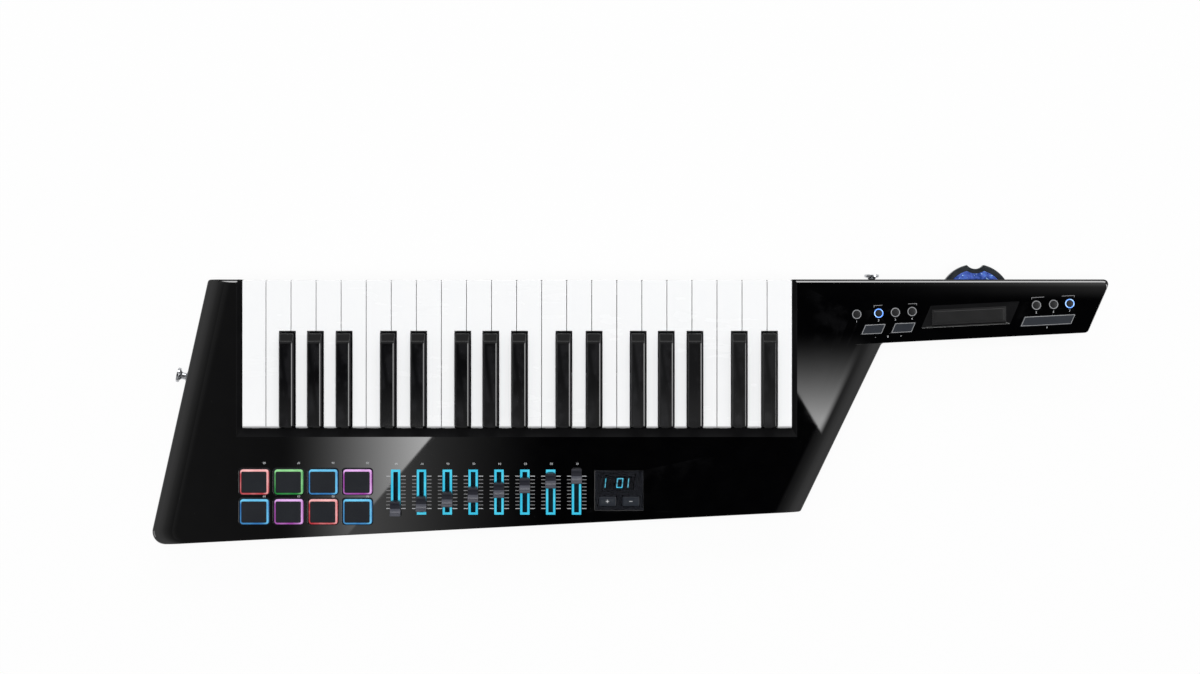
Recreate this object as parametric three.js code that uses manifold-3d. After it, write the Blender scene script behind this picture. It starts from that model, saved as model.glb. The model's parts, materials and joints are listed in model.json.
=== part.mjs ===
import * as THREE from 'three';
import { mergeVertices } from 'three/addons/utils/BufferGeometryUtils.js';
import Module from 'manifold-3d';

// A strap-on keyboard lying on its back. X runs from the tail to the end of the neck, Y from the
// control panel to the fronts of the keys, and Z up out of the keys. Lengths are millimetres.
// The origin is on the back, under the middle of the keys. Low notes are at the neck.

const wasm = await Module();
wasm.setup();

// Clearances and walls
const seatGap = 0.3;
const moveGap = 0.5;
const shellWall = 2.6;
const thinWall = 1.8;
const cutOverrun = 3;

// Heights above the back
const splitHeight = 17;
const deckHeight = 46;
const keyProud = 4;

// Keys
const naturalPitch = 23.5;
const naturalCount = 22;
const naturalLength = 139;
const naturalFrontHeight = 20;
const keyGap = 0.9;
const keyEdgeRound = 0.7;
const keySkirtWall = 1.7;
const keyTopWall = 2.4;
const sharpLengthShare = 0.6482;
const sharpRearGap = 1;
const sharpFrontGap = 1.6;
const sharpBaseWidth = 14;
const sharpTopWidth = 9.7;
const sharpRise = 11.5;
const sharpSlopeLength = 10.7;
const sharpToeLength = 1.7;
const sharpToeHeight = 4.6;
const pivotSetback = 14.5;
const pivotBarRadius = 3;
const tongueWidth = 7;
const tongueHeight = 7.5;
const tongueTail = 6;
const tongueRoofGap = 1.4;
const notesPerOctave = 7;
const lowestOctave = 2;

// Shift of each raised key towards the low notes, in shares of the natural pitch
const scaleNotes = [
  { letter: 'c', sharpShiftShare: 0.085 },
  { letter: 'd', sharpShiftShare: -0.12 },
  { letter: 'e' },
  { letter: 'f', sharpShiftShare: 0.11 },
  { letter: 'g', sharpShiftShare: -0.035 },
  { letter: 'a', sharpShiftShare: -0.155 },
  { letter: 'b' },
];

// Travel of the keys at their fronts
const naturalDip = 10;
const sharpDip = 8;

// Key bed
const bedStandoff = 1.4;
const bedPostRadius = 3.6;
const bedPostShare = 0.85;
const bedPlate = 2;
const bedSideGap = 2;
const bedRailWidth = 6;
const bedWebWidth = 3;
const naturalStopSetback = 29;
const sharpStopSetback = 16;
const guideWidth = 4.5;
const guideRise = 13;
const guideSetback = 5;
const bedWindowWidth = 30;
const bedWindowLength = 52;
const bedWindowCount = 12;

// Case outline seen from the front
const frontMargin = 0.6;
const tailCheek = 31.9;
const tailRake = 55.7;
const panelMargin = 19.85;
const heelRise = 31.6;
const heelMargin = 8.5;
const neckRootReach = 85;
const neckRootWidth = 59.8;
const neckReach = 299.9;
const neckEndWidth = 50;
const neckEndRake = 22;
const smallCorner = 3;
const tailCorner = 12;
const neckCorner = 4.5;

// Rolled and bevelled edges of the front
const rollWidth = 23;
const rollDrop = 5;
const edgeBevel = 1.6;

// Draft of the back
const backInset = 11;
const neckBackHeight = 7;
const neckBackInset = 13;
const bodyBackBlend = 30;

// Seam lip of the back shell
const lipThickness = 1.2;
const lipDepth = 3;
const lipRise = 2.5;

// Key well
const wellSideSlope = 4.6;
const wellRearSlope = 8;
const wellSlopeDrop = 4;
const wellLip = 2.1;

// Pads
const padColumns = 4;
const padRows = 2;
const padWidth = 28.5;
const padLength = 24.7;
const padPitchX = 32.3;
const padPitchY = 28;
const padCorner = 2.8;
const padRim = 2.5;
const padRise = 1.4;
const padRimDrop = 0.6;
const padMargin = 12.1;
const padsBelowKeys = 50.2;
const padSheet = 2.4;
const padSheetMargin = 2.2;

// Faders
const faderCount = 8;
const faderPitch = 24.27;
const faderGapFromPads = 21.6;
const faderTravel = 30.6;
const faderMiddleBelowKeys = 60.2;
const faderBladeWidth = 3;
const faderBladeLength = 6;
const faderBladeDepth = 10;
const faderSlotGap = 0.6;
const faderCapWidth = 10.1;
const faderCapLength = 15.4;
const faderCapHeight = 8.6;
const faderCapValley = 3.2;
const faderCapTaper = 0.8;
const faderCapGap = 0.5;

// Display window and the two value buttons
const windowGapFromFaders = 17.4;
const windowWidth = 45.3;
const windowLength = 36.9;
const windowMiddleBelowKeys = 58.6;
const windowThickness = 1.6;
const panThickness = 2;
const valueButtonWidth = 15.7;
const valueButtonLength = 8.6;
const valueButtonPitch = 22;
const valueButtonRise = 0.8;
const valueButtonEdge = 3.9;
const buttonCorner = 1;
const matSheet = 2;
const digitsWidth = 30;
const digitsLength = 14;
const digitsEdge = 4.5;

// Neck controls: shares of the neck reach along it, and heights above its lower edge
const roundButtonShares = [0.203, 0.2718, 0.324, 0.3762, 0.7656, 0.8193, 0.87];
const roundButtonRadius = 4.5;
const roundButtonRise = 1;
const roundButtonsAboveBars = 9.9;
const matStripWidth = 12.5;
const barButtonBase = 8.5;
const barButtonLength = 9.8;
const barButtonRise = 1.3;
const barFlange = 1.6;
const barFlangeThickness = 1.6;
const barButtons = [
  { name: 'octave_down_button', startShare: 0.2144, widthShare: 0.0674 },
  { name: 'octave_up_button', startShare: 0.3081, widthShare: 0.0674 },
  { name: 'sustain_button', startShare: 0.7136, widthShare: 0.1617 },
];
const recessStartShare = 0.4051;
const recessWidthShare = 0.2781;
const recessBase = 12;
const recessLength = 20.6;
const recessDepth = 1.4;
const ribbonStartShare = 0.4385;
const ribbonWidthShare = 0.2334;
const ribbonMargin = 2;
const ribbonLength = 15;
const ribbonThickness = 0.7;

// Pitch wheel
const wheelAlongShare = 0.5805;
const wheelCentreDepth = 19.4;
const wheelRadius = 34.2;
const wheelBackGap = 7;
const wheelDeckGap = 5.3;
const wheelChordDepth = 16;
const wheelRimWidth = 5.2;
const wheelFaceRecess = 0.8;
const wheelEdge = 0.8;
const wheelHubRadius = 7;
const wheelNotchRadius = 10.5;
const wheelNotchDepth = 4.6;
const wheelSlotGap = 1.3;
const axlePinRadius = 3;
const axlePinProud = 2;
const axleShoulder = 2.5;

// Battery door in the back
const doorWidth = 116;
const doorLength = 46;
const doorThickness = 2;
const doorLedge = 4;
const doorCorner = 4;
const doorBelowHinge = 2.5;
const doorPostClear = 16;
const trayWall = 1.6;
const trayDepth = 17;
const fingerNotchWidth = 16;
const fingerNotchDepth = 4;

// Strap buttons
const strapHeadRadius = 7;
const strapStemRadius = 2.6;
const strapFootRadius = 4.4;
const strapHeight = 10.8;
const strapHeadThickness = 1.6;
const strapFlare = 2.6;
const strapFlareShares = [
  { out: 0, down: 1 },
  { out: 0.15, down: 0.5 },
  { out: 0.45, down: 0.15 },
];
const strapFootThickness = 1.4;
const strapRim = 0.6;
const tailStrapDepth = 92;
const neckStrapReach = 79;
const neckStrapInset = 5.3;
const strapSeatMargin = 2;

// Segment counts
const cornerSteps = 3;
const tailCornerSteps = 5;
const wheelSteps = 48;
const strapSteps = 24;
const barSteps = 12;
const buttonSteps = 20;

// Places worked out from the sizes above
const fieldEdge = naturalCount * naturalPitch / 2;
const keyFront = naturalLength / 2;
const keyRear = -naturalLength / 2;
const keyTop = deckHeight + keyProud;
const keyBottom = keyTop - naturalFrontHeight;
const pivotY = keyRear - pivotSetback;
const pivotRoof = deckHeight - wellSlopeDrop - wellLip;
const pivotZ = pivotRoof - tongueRoofGap - tongueHeight;
const sharpLength = naturalLength * sharpLengthShare;
const sharpRear = keyRear + sharpRearGap;
const sharpFront = sharpRear + sharpLength;
const deckUnderside = deckHeight - shellWall;
const upperEdge = keyFront + frontMargin;
const lastPadRow = keyRear - padsBelowKeys - padPitchY * (padRows - 1);
const tailLowY = lastPadRow - padLength / 2 - panelMargin;
const neckTilt = (neckRootWidth - neckEndWidth) / (neckReach - neckEndRake - neckRootReach);
const neckRakeSlope = neckEndRake / neckEndWidth;
const roundButtonHeight = barButtonBase + barButtonLength + roundButtonsAboveBars;

const point = (x, y) => new THREE.Vector2(x, y);

const caseCorners = [
  point(-fieldEdge - tailCheek, upperEdge),
  point(-fieldEdge - tailCheek - tailRake, tailLowY),
  point(fieldEdge + heelMargin, tailLowY + heelRise),
  point(fieldEdge + neckRootReach, upperEdge - neckRootWidth),
  point(fieldEdge + neckReach - neckEndRake, upperEdge - neckEndWidth),
  point(fieldEdge + neckReach, upperEdge),
];
const caseRadii = [smallCorner, tailCorner, smallCorner, neckCorner, neckCorner, neckCorner];

// Materials
function plastic(color, roughness) {
  return new THREE.MeshStandardMaterial({ color, roughness, metalness: 0 });
}

function metal(color, roughness) {
  return new THREE.MeshStandardMaterial({ color, roughness, metalness: 1 });
}

// A closed mesh as a solid that can be joined and cut
function solidOf(geometry) {
  geometry.deleteAttribute('normal');
  geometry.deleteAttribute('uv');
  const merged = mergeVertices(geometry);
  return new wasm.Manifold(new wasm.Mesh({
    numProp: 3,
    vertProperties: new Float32Array(merged.attributes.position.array),
    triVerts: new Uint32Array(merged.index.array),
  }));
}

// A solid as a named mesh with flat faces
function meshOf(name, solid, material) {
  const { vertProperties, triVerts } = solid.getMesh();
  const indexed = new THREE.BufferGeometry();
  indexed.setAttribute('position', new THREE.BufferAttribute(vertProperties, 3));
  indexed.setIndex(new THREE.BufferAttribute(triVerts, 1));
  const geometry = indexed.toNonIndexed();
  geometry.computeVertexNormals();
  const mesh = new THREE.Mesh(geometry, material);
  mesh.name = name;
  return mesh;
}

function sideways(direction) {
  return point(-direction.y, direction.x);
}

// The corners of an outline that runs anticlockwise, each edge moved inwards by its own distance
function inset(corners, distances) {
  const count = corners.length;
  return corners.map((corner, i) => {
    const before = corners[(i + count - 1) % count];
    const after = corners[(i + 1) % count];
    const arriving = corner.clone().sub(before).normalize();
    const leaving = after.clone().sub(corner).normalize();
    const turn = arriving.cross(leaving);
    const first = distances[(i + count - 1) % count];
    return corner.clone()
      .addScaledVector(leaving, first / turn)
      .addScaledVector(arriving, -distances[i] / turn);
  });
}

function evenInset(corners, distance) {
  return inset(corners, corners.map(() => distance));
}

// The outline with each corner rounded by an arc of its own radius
function rounded(corners, radii, steps) {
  const count = corners.length;
  return corners.flatMap((corner, i) => {
    const before = corners[(i + count - 1) % count];
    const after = corners[(i + 1) % count];
    const arriving = corner.clone().sub(before).normalize();
    const leaving = after.clone().sub(corner).normalize();
    const turn = Math.atan2(arriving.cross(leaving), arriving.dot(leaving));
    const reach = radii[i] * Math.tan(Math.abs(turn) / 2);
    const start = corner.clone().addScaledVector(arriving, -reach);
    const centre = start.clone().addScaledVector(sideways(arriving), radii[i] * Math.sign(turn));
    return Array.from({ length: steps[i] + 1 }, (_, k) => (
      start.clone().rotateAround(centre, turn * k / steps[i])
    ));
  });
}

function evenRounded(corners, radius, steps) {
  return rounded(corners, corners.map(() => radius), corners.map(() => steps));
}

// A solid through a stack of outlines with the same number of points, lowest first
function loft(rings) {
  const count = rings[0].points.length;
  const positions = rings.flatMap(({ points, z }) => points.flatMap((p) => [p.x, p.y, z]));
  const index = [];
  for (let level = 0; level < rings.length - 1; level += 1) {
    for (let i = 0; i < count; i += 1) {
      const next = (i + 1) % count;
      const low = level * count;
      const high = low + count;
      index.push(low + i, low + next, high + next, low + i, high + next, high + i);
    }
  }
  const top = (rings.length - 1) * count;
  for (const [a, b, c] of THREE.ShapeUtils.triangulateShape(rings[0].points, [])) {
    index.push(c, b, a);
  }
  for (const [a, b, c] of THREE.ShapeUtils.triangulateShape(rings.at(-1).points, [])) {
    index.push(top + a, top + b, top + c);
  }
  const geometry = new THREE.BufferGeometry();
  geometry.setAttribute('position', new THREE.Float32BufferAttribute(positions, 3));
  geometry.setIndex(index);
  return solidOf(geometry);
}

// An outline pulled up from one height to another
function prism(points, low, high) {
  const geometry = new THREE.ExtrudeGeometry(new THREE.Shape(points), {
    depth: high - low,
    bevelEnabled: false,
  });
  geometry.translate(0, 0, low);
  return solidOf(geometry);
}

// A profile in Y and Z pulled along X, centred on X = 0
function crosswise(profile, width) {
  const geometry = new THREE.ExtrudeGeometry(new THREE.Shape(profile), {
    depth: width,
    bevelEnabled: false,
  });
  geometry.translate(0, 0, -width / 2);
  geometry.rotateX(Math.PI / 2);
  geometry.rotateZ(Math.PI / 2);
  return solidOf(geometry);
}

function block(lowX, highX, lowY, highY, lowZ, highZ) {
  const geometry = new THREE.BoxGeometry(highX - lowX, highY - lowY, highZ - lowZ);
  geometry.translate((lowX + highX) / 2, (lowY + highY) / 2, (lowZ + highZ) / 2);
  return solidOf(geometry);
}

function rectangle(centre, width, length) {
  return [
    point(centre.x - width / 2, centre.y - length / 2),
    point(centre.x + width / 2, centre.y - length / 2),
    point(centre.x + width / 2, centre.y + length / 2),
    point(centre.x - width / 2, centre.y + length / 2),
  ];
}

// A bar along X
function barAlongX(radius, lowX, highX, y, z) {
  const geometry = new THREE.CylinderGeometry(radius, radius, highX - lowX, barSteps);
  geometry.rotateZ(Math.PI / 2);
  geometry.translate((lowX + highX) / 2, y, z);
  return solidOf(geometry);
}

// A round post along Z
function post(radius, centre, low, high, steps) {
  const geometry = new THREE.CylinderGeometry(radius, radius, high - low, steps);
  geometry.rotateX(Math.PI / 2);
  geometry.translate(centre.x, centre.y, (low + high) / 2);
  return solidOf(geometry);
}

function joined(solids) {
  return solids.reduce((whole, solid) => whole.add(solid));
}

// Neck controls

// The height of the neck's lower edge at a place along X
function neckLowerEdge(x) {
  return upperEdge - neckRootWidth + (x - fieldEdge - neckRootReach) * neckTilt;
}

// A place on the neck, from a reach past the keys and a height above its lower edge
function neckPoint(along, height) {
  const x = fieldEdge + along;
  return point(x, neckLowerEdge(x) + height);
}

// A four-sided opening on the neck, raked like the neck's end
function neckPanel(start, width, base, length) {
  const lean = length * neckRakeSlope;
  return [
    neckPoint(start, base),
    neckPoint(start + width, base),
    neckPoint(start + width + lean, base + length),
    neckPoint(start + lean, base + length),
  ];
}

const roundButtonCentres = roundButtonShares.map((share) => (
  neckPoint(share * neckReach, roundButtonHeight)
));
const barOutlines = barButtons.map(({ startShare, widthShare }) => neckPanel(
  startShare * neckReach,
  widthShare * neckReach,
  barButtonBase,
  barButtonLength,
));
const recessOutline = neckPanel(
  recessStartShare * neckReach,
  recessWidthShare * neckReach,
  recessBase,
  recessLength,
);
const ribbonStart = ribbonStartShare * neckReach;
const ribbonEnd = (ribbonStartShare + ribbonWidthShare) * neckReach;
const ribbonOutline = [
  neckPoint(ribbonStart, recessBase + ribbonMargin),
  neckPoint(ribbonEnd, recessBase + ribbonMargin),
  neckPoint(ribbonEnd, recessBase + ribbonMargin + ribbonLength),
  neckPoint(ribbonStart, recessBase + ribbonMargin + ribbonLength),
];
const wheelCentre = point(fieldEdge + wheelAlongShare * neckReach, upperEdge - wheelCentreDepth);
const neckMatTop = deckHeight - recessDepth - panThickness - seatGap;
const neckMatLow = neckMatTop - matSheet;
const wheelLow = splitHeight + wheelBackGap;
const wheelHigh = neckMatLow - wheelDeckGap;
const wheelThickness = wheelHigh - wheelLow;

// Panel controls
const padCentres = Array.from({ length: padColumns * padRows }, (_, i) => point(
  -fieldEdge + padMargin + padPitchX * (i % padColumns),
  keyRear - padsBelowKeys - padPitchY * Math.floor(i / padColumns),
));
const padBlockEnd = -fieldEdge + padMargin + padPitchX * (padColumns - 1) + padWidth / 2;
const faderPlaces = Array.from({ length: faderCount }, (_, i) => (
  padBlockEnd + faderGapFromPads + faderPitch * i
));
const faderMiddle = keyRear - faderMiddleBelowKeys;
const windowCentre = point(
  faderPlaces.at(-1) + windowGapFromFaders + windowWidth / 2,
  keyRear - windowMiddleBelowKeys,
);
const valueButtonCentres = [-1, 1].map((side) => point(
  windowCentre.x + side * valueButtonPitch / 2,
  windowCentre.y - windowLength / 2 + valueButtonEdge + valueButtonLength / 2,
));
const doorCentre = point(0, pivotY - tongueTail - doorBelowHinge - doorLength / 2);

// Case

// The case outline with its edges moved in: the tail and heel by one distance, the rest by another
function caseRing(rolled, straight, trim) {
  const distances = [rolled, straight, rolled, straight, straight, straight];
  const radii = caseRadii.map((radius, i) => (i === 3 ? radius + trim : Math.max(radius - trim, 1)));
  const steps = caseRadii.map((radius, i) => (i === 1 ? tailCornerSteps : cornerSteps));
  return rounded(inset(caseCorners, distances), radii, steps);
}

// The stack of outlines of the front shell, shrunk by a wall
function frontBody(low, trim) {
  const crown = deckHeight - trim;
  return loft([
    { points: caseRing(trim, trim, trim), z: low },
    { points: caseRing(trim, trim, trim), z: crown - rollDrop },
    { points: caseRing(trim + rollWidth * 0.2, trim, trim), z: crown - rollDrop * 0.5 },
    { points: caseRing(trim + rollWidth * 0.55, trim, trim), z: crown - edgeBevel * 0.6 },
    { points: caseRing(trim + rollWidth, trim + edgeBevel, trim), z: crown },
  ]);
}

// The funnel that the keys stand in, wider by a wall where it is used to keep material
function wellFunnel(wall) {
  const mouth = (side, rear) => [
    point(-fieldEdge - side - wall, keyRear - rear - wall),
    point(fieldEdge + side + wall, keyRear - rear - wall),
    point(fieldEdge + side + wall, upperEdge + cutOverrun),
    point(-fieldEdge - side - wall, upperEdge + cutOverrun),
  ];
  return loft([
    { points: mouth(moveGap, moveGap), z: splitHeight - cutOverrun },
    { points: mouth(moveGap, moveGap), z: deckHeight - wellSlopeDrop },
    { points: mouth(wellSideSlope, wellRearSlope), z: deckHeight },
    { points: mouth(wellSideSlope, wellRearSlope), z: deckHeight + cutOverrun },
  ]);
}

// The seam lip that stands up inside the front shell, grown by a clearance where it cuts
function seamLip(grow) {
  const outer = shellWall + seatGap - grow;
  const inner = shellWall + seatGap + lipThickness + grow;
  const low = splitHeight - lipDepth;
  const high = splitHeight + lipRise + grow;
  return prism(caseRing(outer, outer, outer), low, high)
    .subtract(prism(caseRing(inner, inner, inner), low - cutOverrun, high + cutOverrun));
}

// A pan under the deck that carries a recessed piece
function pan(outline, depth) {
  const floor = deckHeight - depth - panThickness;
  return prism(evenInset(outline, -shellWall), floor, deckUnderside + seatGap);
}

// The scoop round the ribbon strip: its sides slope from a raked outline down to the strip's own
function ribbonRecess() {
  return loft([
    { points: evenInset(ribbonOutline, -seatGap), z: deckHeight - recessDepth },
    { points: recessOutline, z: deckHeight },
    { points: recessOutline, z: deckHeight + cutOverrun },
  ]);
}

function buildFrontShell() {
  const low = splitHeight + seatGap;
  const windowOutline = rectangle(windowCentre, windowWidth, windowLength);
  const windowDepth = windowThickness + seatGap;
  const cavity = frontBody(low - cutOverrun, shellWall).subtract(wellFunnel(shellWall));
  const stemSlot = block(
    -fieldEdge - moveGap,
    fieldEdge + moveGap,
    keyRear - wellRearSlope - shellWall,
    keyRear + cutOverrun,
    low - cutOverrun,
    pivotRoof,
  );
  const chordDepth = wheelCentreDepth - shellWall;
  const slotReach = Math.sqrt(wheelRadius ** 2 - chordDepth ** 2) + wheelSlotGap;
  const wheelSlot = block(
    wheelCentre.x - slotReach,
    wheelCentre.x + slotReach,
    upperEdge - shellWall - cutOverrun,
    upperEdge + cutOverrun,
    wheelLow - wheelSlotGap,
    wheelHigh + wheelSlotGap,
  );
  const deckTop = deckHeight + cutOverrun;
  const under = deckUnderside - cutOverrun - panThickness;
  const recess = (outline, depth) => prism(outline, deckHeight - depth, deckTop);
  const opening = (outline) => prism(outline, under, deckTop);
  const openings = [
    ...padCentres.map((centre) => opening(evenRounded(
      rectangle(centre, padWidth + 2 * moveGap, padLength + 2 * moveGap),
      padCorner + moveGap,
      cornerSteps,
    ))),
    ...faderPlaces.map((x) => opening(rectangle(
      point(x, faderMiddle),
      faderBladeWidth + 2 * faderSlotGap,
      faderTravel + faderBladeLength + 2 * faderSlotGap,
    ))),
    ...valueButtonCentres.map((centre) => opening(evenRounded(
      rectangle(centre, valueButtonWidth + 2 * moveGap, valueButtonLength + 2 * moveGap),
      buttonCorner + moveGap,
      cornerSteps,
    ))),
    ...roundButtonCentres.map((centre) => (
      post(roundButtonRadius + moveGap, centre, under, deckTop, buttonSteps)
    )),
    ...barOutlines.map((outline) => opening(outline)),
    recess(evenInset(windowOutline, -seatGap), windowDepth),
    opening(rectangle(
      point(windowCentre.x, windowCentre.y + windowLength / 2 - digitsEdge - digitsLength / 2),
      digitsWidth,
      digitsLength,
    )),
    ribbonRecess(),
  ];
  return frontBody(low, 0)
    .subtract(cavity)
    .subtract(wellFunnel(0))
    .subtract(stemSlot)
    .add(pan(windowOutline, windowDepth))
    .add(pan(recessOutline, recessDepth))
    .subtract(joined(openings))
    .subtract(wheelSlot)
    .subtract(seamLip(seatGap));
}

// The body of the back: the main tray reaches from the tail to the rake under the neck
function backBody(trim, top) {
  const [tailTop, tailLow, heel, neckRoot] = caseCorners;
  const rake = (neckRoot.x - heel.x) / (neckRoot.y - heel.y);
  const shoulder = point(neckRoot.x + (upperEdge - neckRoot.y) * rake, upperEdge);
  const corners = [tailTop, tailLow, heel, shoulder];
  const radii = [smallCorner, tailCorner, smallCorner, smallCorner];
  const steps = [cornerSteps, tailCornerSteps, cornerSteps, cornerSteps];
  const ring = (share) => rounded(evenInset(corners, backInset * share + trim), radii, steps);
  return loft([
    { points: ring(1), z: trim },
    { points: ring(0.45), z: trim + splitHeight * 0.22 },
    { points: ring(0.12), z: trim + splitHeight * 0.55 },
    { points: ring(0), z: top },
  ]);
}

// The back of the neck, shallower and rounder for the hand
function backNeck(trim, top) {
  const corners = [
    neckPoint(neckRootReach - bodyBackBlend, 0),
    caseCorners[4],
    caseCorners[5],
    point(fieldEdge + neckRootReach - bodyBackBlend, upperEdge),
  ];
  const radii = [smallCorner, neckCorner, neckCorner, smallCorner];
  const steps = corners.map(() => cornerSteps);
  const height = splitHeight - neckBackHeight;
  const ring = (share) => rounded(evenInset(corners, neckBackInset * share + trim), radii, steps);
  return loft([
    { points: ring(1), z: neckBackHeight + trim },
    { points: ring(0.5), z: neckBackHeight + trim + height * 0.16 },
    { points: ring(0.18), z: neckBackHeight + trim + height * 0.45 },
    { points: ring(0), z: top },
  ]);
}

function buildBackShell() {
  const cavityTop = splitHeight + cutOverrun;
  const cavity = backBody(shellWall, cavityTop).add(backNeck(shellWall, cavityTop));
  const axleSeat = neckBackHeight + shellWall / 2;
  const shoulderRadius = axlePinRadius + axleShoulder;
  const strapX = fieldEdge + neckStrapReach;
  const seatHalf = strapHeadRadius + strapSeatMargin;
  const seatFace = upperEdge - neckStrapInset;
  const seatTop = splitHeight - seatGap;
  const seatBoss = block(
    strapX - seatHalf - thinWall,
    strapX + seatHalf + thinWall,
    seatFace - strapHeadRadius,
    upperEdge - shellWall,
    shellWall / 2,
    seatTop,
  );
  const seatPocket = block(
    strapX - seatHalf,
    strapX + seatHalf,
    seatFace,
    upperEdge + cutOverrun,
    -cutOverrun,
    seatTop,
  );
  const doorOutline = rectangle(doorCentre, doorWidth, doorLength);
  const trayOutline = evenInset(doorOutline, doorLedge);
  const notchY = doorCentre.y - doorLength / 2;
  const bedPostX = fieldEdge * bedPostShare;
  const bedPosts = [-1, 0, 1].flatMap((column) => [keyRear, keyFront - doorPostClear].map((y) => (
    post(bedPostRadius, point(column * bedPostX, y), shellWall / 2, shellWall + bedStandoff, barSteps)
  )));
  return backBody(0, splitHeight)
    .add(backNeck(0, splitHeight))
    .subtract(cavity)
    .add(seamLip(0))
    .add(seatBoss)
    .subtract(seatPocket)
    .add(joined(bedPosts))
    .add(prism(evenInset(doorOutline, -trayWall), shellWall / 2, doorThickness + 2 * thinWall))
    .add(prism(evenInset(trayOutline, -trayWall), shellWall / 2, trayDepth + trayWall))
    .subtract(prism(trayOutline, -cutOverrun, trayDepth))
    .subtract(prism(
      evenRounded(evenInset(doorOutline, -seatGap), doorCorner, cornerSteps),
      -cutOverrun,
      doorThickness + 2 * seatGap,
    ))
    .subtract(block(
      doorCentre.x - fingerNotchWidth / 2,
      doorCentre.x + fingerNotchWidth / 2,
      notchY - fingerNotchDepth,
      notchY + cutOverrun,
      -cutOverrun,
      shellWall / 2,
    ))
    .add(post(shoulderRadius, wheelCentre, axleSeat, wheelLow - seatGap, barSteps))
    .add(post(axlePinRadius, wheelCentre, axleSeat, wheelHigh + axlePinProud, barSteps));
}

function buildBatteryDoor() {
  const outline = rectangle(doorCentre, doorWidth, doorLength);
  const panel = prism(evenRounded(outline, doorCorner, cornerSteps), seatGap, doorThickness + seatGap);
  const tab = crosswise([
    point(-doorLength / 2 + doorLedge + seatGap, doorThickness),
    point(-doorLength / 2 + doorLedge + seatGap + thinWall, doorThickness),
    point(-doorLength / 2 + doorLedge + seatGap + thinWall, doorThickness + 3 * thinWall),
    point(-doorLength / 2 + doorLedge + seatGap, doorThickness + 3 * thinWall),
  ], fingerNotchWidth);
  return panel.add(tab.translate([doorCentre.x, doorCentre.y, 0]));
}

// Key bed

function buildKeyBed() {
  const low = shellWall + bedStandoff + seatGap;
  const deck = low + bedPlate;
  const edge = fieldEdge - bedSideGap;
  const naturalSine = naturalDip / (keyFront - pivotY);
  const sharpSine = sharpDip / (sharpFront - pivotY);
  const naturalStop = keyFront - naturalStopSetback;
  const sharpStop = sharpFront - sharpStopSetback;
  const naturalStopTop = keyBottom - (naturalStop + bedRailWidth / 2 - pivotY) * naturalSine - moveGap;
  const sharpStopTop = keyBottom - (sharpStop + bedRailWidth / 2 - pivotY) * sharpSine - moveGap;
  const rail = (y, top) => block(
    -edge,
    edge,
    y - bedRailWidth / 2,
    y + bedRailWidth / 2,
    low,
    top,
  );
  const pivotWeb = block(
    -edge,
    edge,
    pivotY - bedWebWidth / 2,
    pivotY + bedWebWidth / 2,
    low,
    pivotZ,
  );
  const guide = (x, y, top) => block(
    x - guideWidth / 2,
    x + guideWidth / 2,
    y - guideWidth / 2,
    y + guideWidth / 2,
    low,
    top,
  );
  const guides = [
    ...naturals.map(({ centre }) => guide(
      centre,
      naturalStop + bedRailWidth / 2 + guideSetback,
      naturalStopTop + guideRise,
    )),
    ...sharps.map(({ centre }) => guide(
      centre,
      sharpStop - bedRailWidth / 2 - guideSetback,
      sharpStopTop + guideRise,
    )),
  ];
  const windowStep = 2 * edge / bedWindowCount;
  const windows = Array.from({ length: bedWindowCount }, (_, i) => prism(
    rectangle(
      point(-edge + windowStep * (i + 0.5), (pivotY + sharpStop) / 2 - guideSetback),
      bedWindowWidth,
      bedWindowLength,
    ),
    low - cutOverrun,
    deck + cutOverrun,
  ));
  const frontEdge = upperEdge - backInset - shellWall - moveGap;
  return block(-edge, edge, pivotY - tongueTail, frontEdge, low, deck)
    .subtract(joined(windows))
    .add(rail(naturalStop, naturalStopTop))
    .add(rail(sharpStop, sharpStopTop))
    .add(pivotWeb)
    .add(barAlongX(pivotBarRadius, -edge, edge, pivotY, pivotZ))
    .add(joined(guides));
}

// Keys

// Where each key stands, from the lowest note at the neck to the highest at the tail
function keyPlaces() {
  const whites = [];
  const blacks = [];
  for (let i = 0; i < naturalCount; i += 1) {
    const { letter, sharpShiftShare } = scaleNotes[i % notesPerOctave];
    const octave = lowestOctave + Math.floor(i / notesPerOctave);
    const high = fieldEdge - naturalPitch * i;
    const low = high - naturalPitch;
    whites.push({ name: `natural_${letter}${octave}`, centre: (low + high) / 2, low, high });
    if (sharpShiftShare !== undefined && i < naturalCount - 1) {
      blacks.push({
        name: `sharp_${letter}${octave}`,
        centre: low + sharpShiftShare * naturalPitch,
      });
    }
  }
  return { whites, blacks };
}

const { whites: naturals, blacks: sharps } = keyPlaces();

// The hinge tongue behind a key's rear wall, with the half-round notch that sits on the pivot bar
function hingeTongue(x, rear) {
  const tongue = block(
    x - tongueWidth / 2,
    x + tongueWidth / 2,
    -tongueTail,
    rear + keySkirtWall / 2,
    0,
    tongueHeight,
  );
  const notch = barAlongX(
    pivotBarRadius + moveGap,
    x - tongueWidth / 2 - cutOverrun,
    x + tongueWidth / 2 + cutOverrun,
    0,
    0,
  );
  return tongue.subtract(notch);
}

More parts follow.
